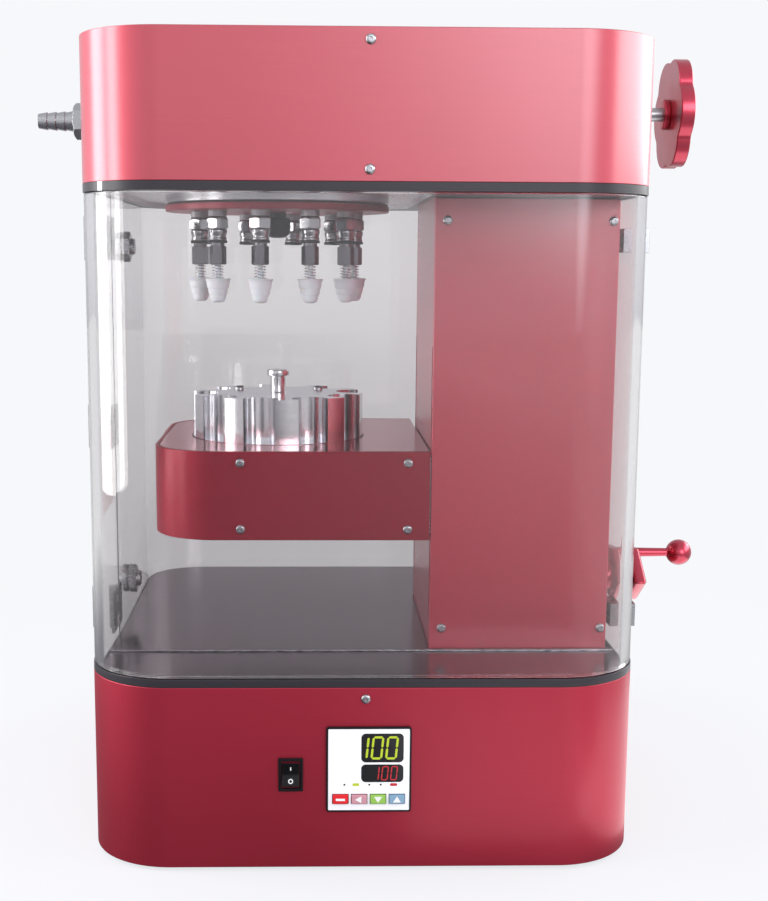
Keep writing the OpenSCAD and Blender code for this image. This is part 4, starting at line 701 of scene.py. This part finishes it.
collar = turned([(0, 375.3), (5.7, 375.3), (5.7, 371.9), (5.5, 371.7), (0, 371.7)], 40)
fitting = turned([(0, 371.7), (5.1, 371.7), (5.7, 371.3), (5.9, 370.7), (5.6, 369.9), (5.6, 364.5), (5.2, 364.2),
                  (5.8, 363.4), (5.9, 361.9), (5.4, 360.6), (5.2, 359.4), (5.5, 358.6), (5.6, 357.9),
                  (5.4, 357.4), (4.2, 357.3), (4.2, 355.4), (2.3, 355.4), (2.3, 361), (0, 361)], 40)
hexagon(7.2, 364.3, 370.5, shape=fitting)
bmesh.ops.rotate(fitting, matrix=Matrix.Rotation(math.radians(30), 3, "Z"), verts=fitting.verts[:])
sleeve = hexagon(5.3, 342.6, 353.9)
turned([(0, 353.8), (4.2, 353.8), (4.2, 355.5), (0, 355.5)], 40, shape=sleeve)
for shape, name, finish, spots, ease, nodes in (
        (collar, "coupling_collars", blasted, places, 0.12, ()),
        (fitting, "coupling_fittings", bright_nickel, places, 0.12, ("couplers",)),
        (sleeve, "coupling_sleeves", nickel, plugged, 0.35, ())):
    shape = form("coupling", shape, finish, ease=ease, crease=30)
    seat(set_out(name, shape, [((x, y, 0), UP) for x, y in spots], finish), "housing", "chrome", *nodes)
    bpy.data.objects.remove(shape)
ring = turned([(4.25, 355.7), (5.5, 355.6), (5.9, 355.9), (6, 356.5), (5.9, 357.1), (5.5, 357.4), (4.25, 357.35)],
              40, closed=True)
ring = form("ring", ring, rubber)
rings = set_out("ring_set", ring, [((x, y, 0), UP) for x, y in places], rubber)
seat(rings, "housing", "black_rubber", "coupler_rings")
bpy.data.objects.remove(ring)


# Springs: six compression springs of chromed steel wire, coiled round the plug stems under the sleeves.
# Geometry nodes sweep each along a spiral of fixed height; the real spring shortens as its plug is pushed up.
coil, given, coil_called = start_tree("coil spring", {
    "Coil radius": "Float", "Wire radius": "Float", "Turns": "Float", "Height": "Float", "Place": "Vector",
    "Finish": "Material"})
path = add(coil, "GeometryNodeCurveSpiral", {
    "Resolution": 28, "Rotations": given["Turns"], "Start Radius": given["Coil radius"],
    "End Radius": given["Coil radius"], "Height": given["Height"]})
path = add(coil, "GeometryNodeTransform", {"Geometry": path, "Translation": given["Place"]})
wire = add(coil, "GeometryNodeCurvePrimitiveCircle", {"Resolution": 10, "Radius": given["Wire radius"]})
swept = add(coil, "GeometryNodeCurveToMesh", {
    "Curve": path, "Profile Curve": wire, "Fill Caps": True})
end_tree(coil, swept, given["Finish"])
for i, (x, y) in enumerate(plugged):
    name = "spring_%02d" % (i + 1)
    spring = grow(put(name, bpy.data.meshes.new(name)), coil, coil_called, {
        "Coil radius": 0.0033, "Wire radius": 0.0003, "Turns": 4.5, "Height": 0.0077,
        "Place": (x / 1000, y / 1000, 0.3346), "Finish": chrome})
    spring.data.shade_smooth()
    seat(spring, "housing", "steel", "plug_springs")
    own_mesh(spring)


# Plugs: six white stepped plugs moulded in PTFE, each on a stem that slides in its coupler.
# The wide upper cone ends in a thin lip; a small suction hole runs up through the tip.
# PTFE is a waxy white that lets a little light in, with a soft sheen.
ptfe = grained("white PTFE", {"IOR": 1.38, "Subsurface Weight": 0.15, "Subsurface Scale": 0.002}, 1.5,
               tints=("#e4e7eb", "#eceff2"), gloss=(0.45, 0.6))
for i, (x, y) in enumerate(plugged):
    plug = turned([(0.8, 319.7), (2.2, 319.7), (3.2, 320), (3.9, 320.6), (4.5, 321.7), (4.9, 323.1), (5.05, 324.4),
                   (5.5, 324.6), (5.75, 325.3), (6, 327), (6.1, 328.2), (6.5, 328.4), (6.7, 329.1), (6.95, 331),
                   (7.1, 332.3), (7.5, 333.1), (7.85, 333.9), (7.7, 334.2), (7.1, 334.2), (6.3, 333.5),
                   (2.4, 333.3), (1.95, 333.8), (1.95, 353.9), (0.8, 353.9)], 48, (x, y, 0), closed=True)
    name = "plug_%02d" % (i + 1)
    seat(form("stopper_%02d" % (i + 1), plug, ptfe, ease=0.1), name, "white_plug", name)


# Top housing: the same red anodised sheet wrapped round the roof's rim, drilled for the nozzle and the valve,
# with a flat red lid let into it. The vacuum fittings inside are turned bronze and aluminium pipe.
valve_z, nozzle_y, nozzle_z = 437.5, -20, 428.8
shell = drawn(outer_wall, 386.8, 466.2, inner_wall)
shell = form("top_housing", shell, red, ease=0.5, rounds=3,
             holes=(((159, 0, valve_z), "X", 4.5, 12), ((-159, nozzle_y, nozzle_z), "X", 5.3, 12)))
seat(shell, "housing", "red_anodised", "top_shell")
lid = drawn(rounded(-155.7, 155.7, -142.7, 142.7, 44.7), 463.2, 466.2)
# The lid is sealed least of all, so lamps lie on it as a soft red sheen; its red is the base's darker red, painted
# shade against the lamps' glare.
lid_red = variant(shaded_red, "unsealed red anodised aluminium", coat=0.1)
seat(form("lid", lid, lid_red, ease=0.5, rounds=3), "housing", "red_anodised", "top_lid")
dress(bronze, "valve_body")
dress(milled, "vacuum_line")


# Hose nozzle: stainless steel, turned with four barbs that grip a hose, on a hexagon screwed into the left wall.
# Its bore runs right through to the manifold's pipe.
nozzle = hexagon(11, 159, 176, chamfer=0.75)
to_left = Matrix.Rotation(math.radians(-90), 4, "Y")
bmesh.ops.transform(nozzle, matrix=Matrix.Translation((0, nozzle_y, nozzle_z)) @ to_left, verts=nozzle.verts[:])
bore_r, tip, barb_pitch, barb_taper = 3, 198, 5.5, 0.3
barbs = [(bore_r, 150), (5, 150), (5, 175.5)]
for i in range(4):
    barbs += [(r - barb_taper * i, h + barb_pitch * i) for r, h in ((6.2, 176), (6.2, 176.5), (5.3, 181.4))]
barbs[-1] = (4.4, tip)
turned([(r, -h) for r, h in barbs + [(bore_r, tip)]], 48, (0, nozzle_y, nozzle_z), "X", closed=True, shape=nozzle)
seat(form("hose_nozzle", nozzle, steel, ease=0.15, crease=30), "housing", "steel", "hose_barb")


# Valve knob: a six-lobed hand wheel milled from red anodised plate, with a collar pinned to the valve's stem.
# Its faces are flat and buffed, and its rim is lightly chamfered.
lobe_at, lobe_r = 17, 18
star = []
for i in range(360):
    a = 2 * math.pi * i / 360
    reach = 0
    for k in range(6):
        off = a - math.pi * k / 3
        reach = max(reach, lobe_at * math.cos(off) + math.sqrt(max(0, lobe_r ** 2 - (lobe_at * math.sin(off)) ** 2)))
    star.append(reach)
# The cutter leaves a small radius in each notch.
star = [sum(star[(i + d) % 360] for d in range(-3, 4)) / 7 for i in range(360)]
wheel = drawn([(r * math.cos(math.radians(i)), valve_z + r * math.sin(math.radians(i))) for i, r in enumerate(star)],
              194, 202.5, lay=sideways)
turned([(0, 190), (9.4, 190), (9.4, 194.2), (0, 194.2)], 56, (0, 0, valve_z), "X", shape=wheel)
seat(form("hand_wheel", wheel, satin_red, ease=0.7), "valve", "red_anodised", "valve_knob")
stem = turned([(0, 150), (4.2, 150), (4.2, 200.4), (0, 200.4)], 40, (0, 0, valve_z), "X")
seat(form("valve_spindle", stem, steel, ease=0.2), "valve", "steel", "valve_stem")


# Clear covers: 5 mm cast acrylic bent round the corners, in two halves that meet at the hinges.
# The front half is the door; the rear half is fixed and drilled for the lever's shaft and two port plugs.
acrylic, tree, spot = start_finish("clear cast acrylic", {
    "Base Color": linear("#ebe9e9"), "Transmission Weight": 1.0, "IOR": 1.49, "Roughness": 0.0})
# Bending leaves the sheet very slightly wavy, over about 70 mm.
wave = add(tree, "ShaderNodeTexNoise", {"Vector": spot, "Scale": 1 / 0.07, "Detail": 0.0})
spread(acrylic, wave, relief=(0.05, 0.0004))
path = add(tree, "ShaderNodeLightPath")
soft = add(tree, "ShaderNodeMath", {
    "operation": "MAXIMUM", 0: path.outputs["Is Shadow Ray"], 1: path.outputs["Is Diffuse Ray"]})
through = add(tree, "ShaderNodeBsdfTransparent", {"Color": linear("#f8f8f8")})
shader = tree.nodes["Principled BSDF"]
mixed = add(tree, "ShaderNodeMixShader", {0: soft, 1: shader, 2: through})
tree.links.new(mixed.outputs[0], tree.nodes["Material Output"].inputs["Surface"])

# Each half is a wall closed at Y -145.5 or 145.5 and open where the two meet, 1 mm apart.
reach, half_wide, bend, thick = -145.5, 158.5, 47.5, 5
front = bent_wall(reach, -52.5, -half_wide, half_wide, bend, thick, 113.9, 381.4, 48, lay=lambda u, v, w: (-v, u, w))
seat(form("door_sheet", front, acrylic, ease=0.5), "door", "clear", "door")
port_y, port_levels = -5, (139.3, 353.3)
rear = bent_wall(reach, 51.5, -half_wide, half_wide, bend, thick, 113.4, 381.9, 48, lay=lambda u, v, w: (-v, -u, w))
# The rear sheet is greyer towards its foot, from 0.34 m down to 0.14 m: painted shade for the part's shadow on the
# floor behind it.
rear_acrylic_painted_shade = variant(acrylic, "clear cast acrylic, shaded foot")
tree = rear_acrylic_painted_shade.node_tree
place = add(tree, "ShaderNodeSeparateXYZ", {"Vector": add(tree, "ShaderNodeTexCoord").outputs["Object"]})
share = add(tree, "ShaderNodeMapRange", {"Value": place.outputs["Z"], "From Min": 0.14, "From Max": 0.34})
spread(rear_acrylic_painted_shade, share, tints=("#cfcdce", "#ebe9e9"))
rear = form("rear_sheet", rear, rear_acrylic_painted_shade, ease=0.5,
            holes=[((156, shaft_y, shaft_z), "X", 7, 8)] + [((-156, port_y, z), "X", 5.3, 8) for z in port_levels])
seat(rear, "housing", "clear", "rear_cover")


# Hinges, catches and port plugs: stainless steel fittings on the covers. The hinges carry the door on the left,
# the catches hold it on the right, and hexagon plugs close two ports in the left wall.
seat(form("hinge_fixed", traced("fixed_hinge_leaves"), steel, ease=0.3), "housing", "steel", "fixed_hinge_leaves")
seat(form("hinge_moving", traced("door_hinge_leaves"), steel, ease=0.3), "door", "steel", "door_hinge_leaves")
seat(form("catch_pair", traced("door_catches"), steel, ease=0.7, rounds=3), "door", "steel", "door_catches")
ports = bmesh.new()
for z in port_levels:
    before = len(ports.verts)
    hexagon(9.5, 147.5, 153.5, shape=ports)
    bmesh.ops.transform(ports, matrix=Matrix.Translation((0, port_y, z)) @ to_left, verts=list(ports.verts)[before:])
    turned([(0, -144.5), (4.4, -144.5), (5, -145.2), (5, -158), (0, -158)], 40, (0, port_y, z), "X", shape=ports)
    turned([(0, -158.5), (9, -158.5), (9, -161.2), (7.6, -162.5), (0, -162.5)], 48, (0, port_y, z), "X", shape=ports)
seat(form("port_plug_pair", ports, steel, ease=0.2, crease=30), "housing", "steel", "port_plugs")


# Screws: stainless button heads with a hexagon socket on the housing, the column, the arm and the inlet,
# larger ones in the block and smaller ones in the hinge leaves. One head is drawn and geometry nodes set it out.
FRONT, BACK, LEFT = (0, -1, 0), (0, 1, 0), (-1, 0, 0)
button = bmesh.new()
dome = [(2.8, 0), (2.8, 0.3)] + [(1.45 + 1.35 * math.cos(a), 0.3 + 1.3 * math.sin(a))
                                 for a in [math.radians(9 * i) for i in range(1, 11)]]
turns = [math.pi * i / 24 for i in range(48)]
rings = [[button.verts.new((r * math.cos(a), r * math.sin(a), h)) for a in turns] for r, h in dome]
socket = [1.0 / math.cos((a % (math.pi / 3)) - math.pi / 6) for a in turns]
for low in (1.6, 0.5):
    rings.append([button.verts.new((r * math.cos(a), r * math.sin(a), low)) for r, a in zip(socket, turns)])
for a, b in zip(rings, rings[1:]):
    for i in range(len(turns)):
        button.faces.new((a[i - 1], a[i], b[i], b[i - 1]))
button.faces.new(rings[-1])
button.faces.new(rings[0])
button = form("button", button, steel, crease=30)
spots = [((0, -146, z), FRONT) for z in (102, 393.3, 459.7)] + [((0, 146, z), BACK) for z in (26.6, 102, 393.3, 459.7)]
spots += [((x, -84, z), FRONT) for x in (47.5, 145.1) for z in (126.7, 368.6)]
seat(set_out("housing_button_heads", button, spots, steel), "housing", "steel", "housing_screws")
spots = [((x, y, z), way) for y, way in ((-84, FRONT), (92, BACK)) for x in (-73, 26.5) for z in (187.2, 227.1)]
heads = set_out("arm_button_heads", button, spots, steel)
seat(heads, "arm", "steel", "arm_screws")
caps = set_out("block_cap_heads", button, [((axis_x + x, 22, 261.4), UP) for x in (-26, 26)], steel, 1.25)
seat(caps, "arm", "steel")
hinge_y, hinge_levels, leaf_reach = -52, (131.8, 244.8, 357.8), 10.5
for name, body, y in (("hinge_heads_fixed", "housing", hinge_y + leaf_reach),
                      ("hinge_heads_door", "door", hinge_y - leaf_reach)):
    spots = [((-161, y, z + dz), LEFT) for z in hinge_levels for dz in (-8, 8)]
    seat(set_out(name, button, spots, steel, 0.8), body, "steel")
seat(set_out("inlet_heads", button, [((inlet_x + x, 149, 50), BACK) for x in (-19.5, 19.5)], steel), "housing", "steel")
bpy.data.objects.remove(button)


# Studio: a plain pale floor that runs into a pale surround, with tall soft lamps left and right and two low ones.
# The lens sees floor and surround alike; in reflections the near floor is dimmer, so the base looks a deeper red, which
# its painted shade deepens further.
def sight(tree):
    """Two marks for a ray: that a surface threw it back, and that it is plain sight, also through glass."""
    path = add(tree, "ShaderNodeLightPath").outputs
    thrown = add(tree, "ShaderNodeMath", {"operation": "GREATER_THAN", 0: path["Glossy Depth"], 1: 0.5})
    plain = add(tree, "ShaderNodeMath", {
        "operation": "MAXIMUM", 0: path["Is Camera Ray"], 1: path["Is Transmission Ray"]})
    plain = add(tree, "ShaderNodeMath", {"operation": "SUBTRACT", "use_clamp": True, 0: plain, 1: thrown})
    return thrown, plain


pale = linear("#f7f8fb")
ground, tree, spot = start_finish("studio floor", {"Roughness": 0.9})
mirrored, seen = sight(tree)
paint = add(tree, "ShaderNodeMix", {"data_type": "RGBA", 0: seen, 6: linear("#5a5a5e"), 7: linear("#cfd0d3")})
shader = tree.nodes["Principled BSDF"]
tree.links.new(paint.outputs[2], shader.inputs["Base Color"])
# The shadow fades out between 0.25 m and 0.7 m from the middle of the part.
away = add(tree, "ShaderNodeVectorMath", {"operation": "LENGTH", 0: spot}).outputs["Value"]
clean = add(tree, "ShaderNodeMapRange", {
    "interpolation_type": "SMOOTHSTEP", "Value": away,
    "From Min": 0.25, "From Max": 0.7, "To Min": 0.78, "To Max": 1.0})
seen = add(tree, "ShaderNodeMath", {"operation": "MULTIPLY", 0: seen, 1: clean})
# Metal and glass see the floor glow brighter to the right, further in front, behind the part and far on the left:
# painted light for their reflections.
across = add(tree, "ShaderNodeSeparateXYZ", {"Vector": spot}).outputs
lean = add(tree, "ShaderNodeVectorMath", {"operation": "DOT_PRODUCT", 0: spot, 1: (1.1, -0.12, 0.0)})
glint = add(tree, "ShaderNodeMath", {"operation": "ADD", "use_clamp": True, 0: lean.outputs["Value"], 1: 0.04})
for along, near, far, most in (("Y", 0.2, 0.6, 0.9), ("X", 0.2, 0.42, 0.75), ("X", -0.55, -0.9, 0.9)):
    ramp = add(tree, "ShaderNodeMapRange", {
        "Value": across[along], "From Min": near, "From Max": far, "To Min": 0.0, "To Max": most})
    glint = add(tree, "ShaderNodeMath", {"operation": "MAXIMUM", 0: glint, 1: ramp})
glint = add(tree, "ShaderNodeMath", {"operation": "MULTIPLY", 0: glint, 1: mirrored})
share = add(tree, "ShaderNodeMath", {"operation": "MAXIMUM", 0: seen, 1: glint})
plain = add(tree, "ShaderNodeEmission", {"Color": pale, "Strength": 1.0})
mixed = add(tree, "ShaderNodeMixShader", {0: share, 1: shader, 2: plain})
tree.links.new(mixed.outputs[0], tree.nodes["Material Output"].inputs["Surface"])
sheet = drawn(rounded(-6000, 6000, -6000, 6000, 600, 8), -20, 0)
floor = form("studio_floor", sheet, ground)

scene = bpy.context.scene
scene.world = bpy.data.worlds.new("studio surround")
scene.world.use_nodes = True
tree = scene.world.node_tree
tree.nodes.clear()
turned_to = add(tree, "ShaderNodeTexCoord").outputs["Generated"]
way = add(tree, "ShaderNodeSeparateXYZ", {"Vector": turned_to}).outputs
# The surround is brightest in front of the part above the horizon, and dimmer behind it and low down.
level = add(tree, "ShaderNodeMapRange", {
    "Value": way["Z"], "From Min": -0.25, "From Max": 0.02, "To Min": 0.45, "To Max": 0.9})
depth = add(tree, "ShaderNodeMapRange", {
    "Value": way["Y"], "From Min": -0.9, "From Max": 0.9, "To Min": 1.4, "To Max": 0.95})
level = add(tree, "ShaderNodeMath", {"operation": "MULTIPLY", 0: level, 1: depth})
# A soft window of light stands to the right of the lens, 14 degrees up.
aside = add(tree, "ShaderNodeVectorMath", {"operation": "DOT_PRODUCT", 0: turned_to, 1: (0.316, -0.917, 0.242)})
window = add(tree, "ShaderNodeMapRange", {
    "interpolation_type": "SMOOTHERSTEP", "Value": aside.outputs["Value"],
    "From Min": math.cos(math.radians(19)), "From Max": 1.0, "To Min": 0.0, "To Max": 5.5})
level = add(tree, "ShaderNodeMath", {"operation": "ADD", 0: level, 1: window})
seen = sight(tree)[1]
lit = add(tree, "ShaderNodeBackground", {"Color": linear("#f6f7fd"), "Strength": level})
plain = add(tree, "ShaderNodeBackground", {"Color": pale, "Strength": 1.0})
mixed = add(tree, "ShaderNodeMixShader", {0: seen, 1: lit, 2: plain})
add(tree, "ShaderNodeOutputWorld", {"Surface": mixed})

# Each lamp is a soft rectangle: where it stands, what it faces, its width, height and watts.
for name, at, aim, wide, high, watts in (
        ("left_lamp", (-0.8, -0.03, 0.565), (0, -0.03, 0.53), 0.28, 0.93, 5.7),
        ("left_front_lamp", (-0.8, -0.37, 0.565), (0, -0.37, 0.53), 0.2, 0.93, 4.4),
        ("right_lamp", (1.25, 0.2, 0.755), (0, 0.2, 0.59), 2.0, 0.59, 20.5),
        ("low_right_lamp", (0.295, -0.03, 0.002), (0.295, -0.03, 1), 0.25, 0.4, 0.5),
        ("low_front_lamp", (0.15, -0.33, 0.002), (0.15, -0.33, 1), 0.24, 0.3, 0.16)):
    lamp = bpy.data.lights.new(name, "AREA")
    lamp.shape = "RECTANGLE"
    lamp.size, lamp.size_y, lamp.energy = wide, high, watts
    held = put(name, lamp)
    held.location = at
    held.rotation_euler = (Vector(aim) - Vector(at)).to_track_quat("-Z", "Y").to_euler()

# The lens stands 0.9 m in front of the part, above its middle, and looks 9 degrees down.
lens_at, yaw, pitch, roll = (-0.0304, -0.8885, 0.34485), 0.0241, 0.1567, 0.0051
ahead = Vector((math.sin(yaw) * math.cos(pitch), math.cos(yaw) * math.cos(pitch), -math.sin(pitch)))
right = ahead.cross(Vector((0, 0, 1))).normalized()
aim = Matrix((right, right.cross(ahead), -ahead)).transposed().to_4x4()
camera = put("camera", bpy.data.cameras.new("camera"))
camera.matrix_world = Matrix.Translation(lens_at) @ aim @ Matrix.Rotation(roll, 4, "Z")
camera.data.lens = 54.84
camera.data.shift_x, camera.data.shift_y = 0.0435, 0.031
camera.data.clip_end = 30
scene.camera = camera
scene.view_settings.view_transform = "Standard"
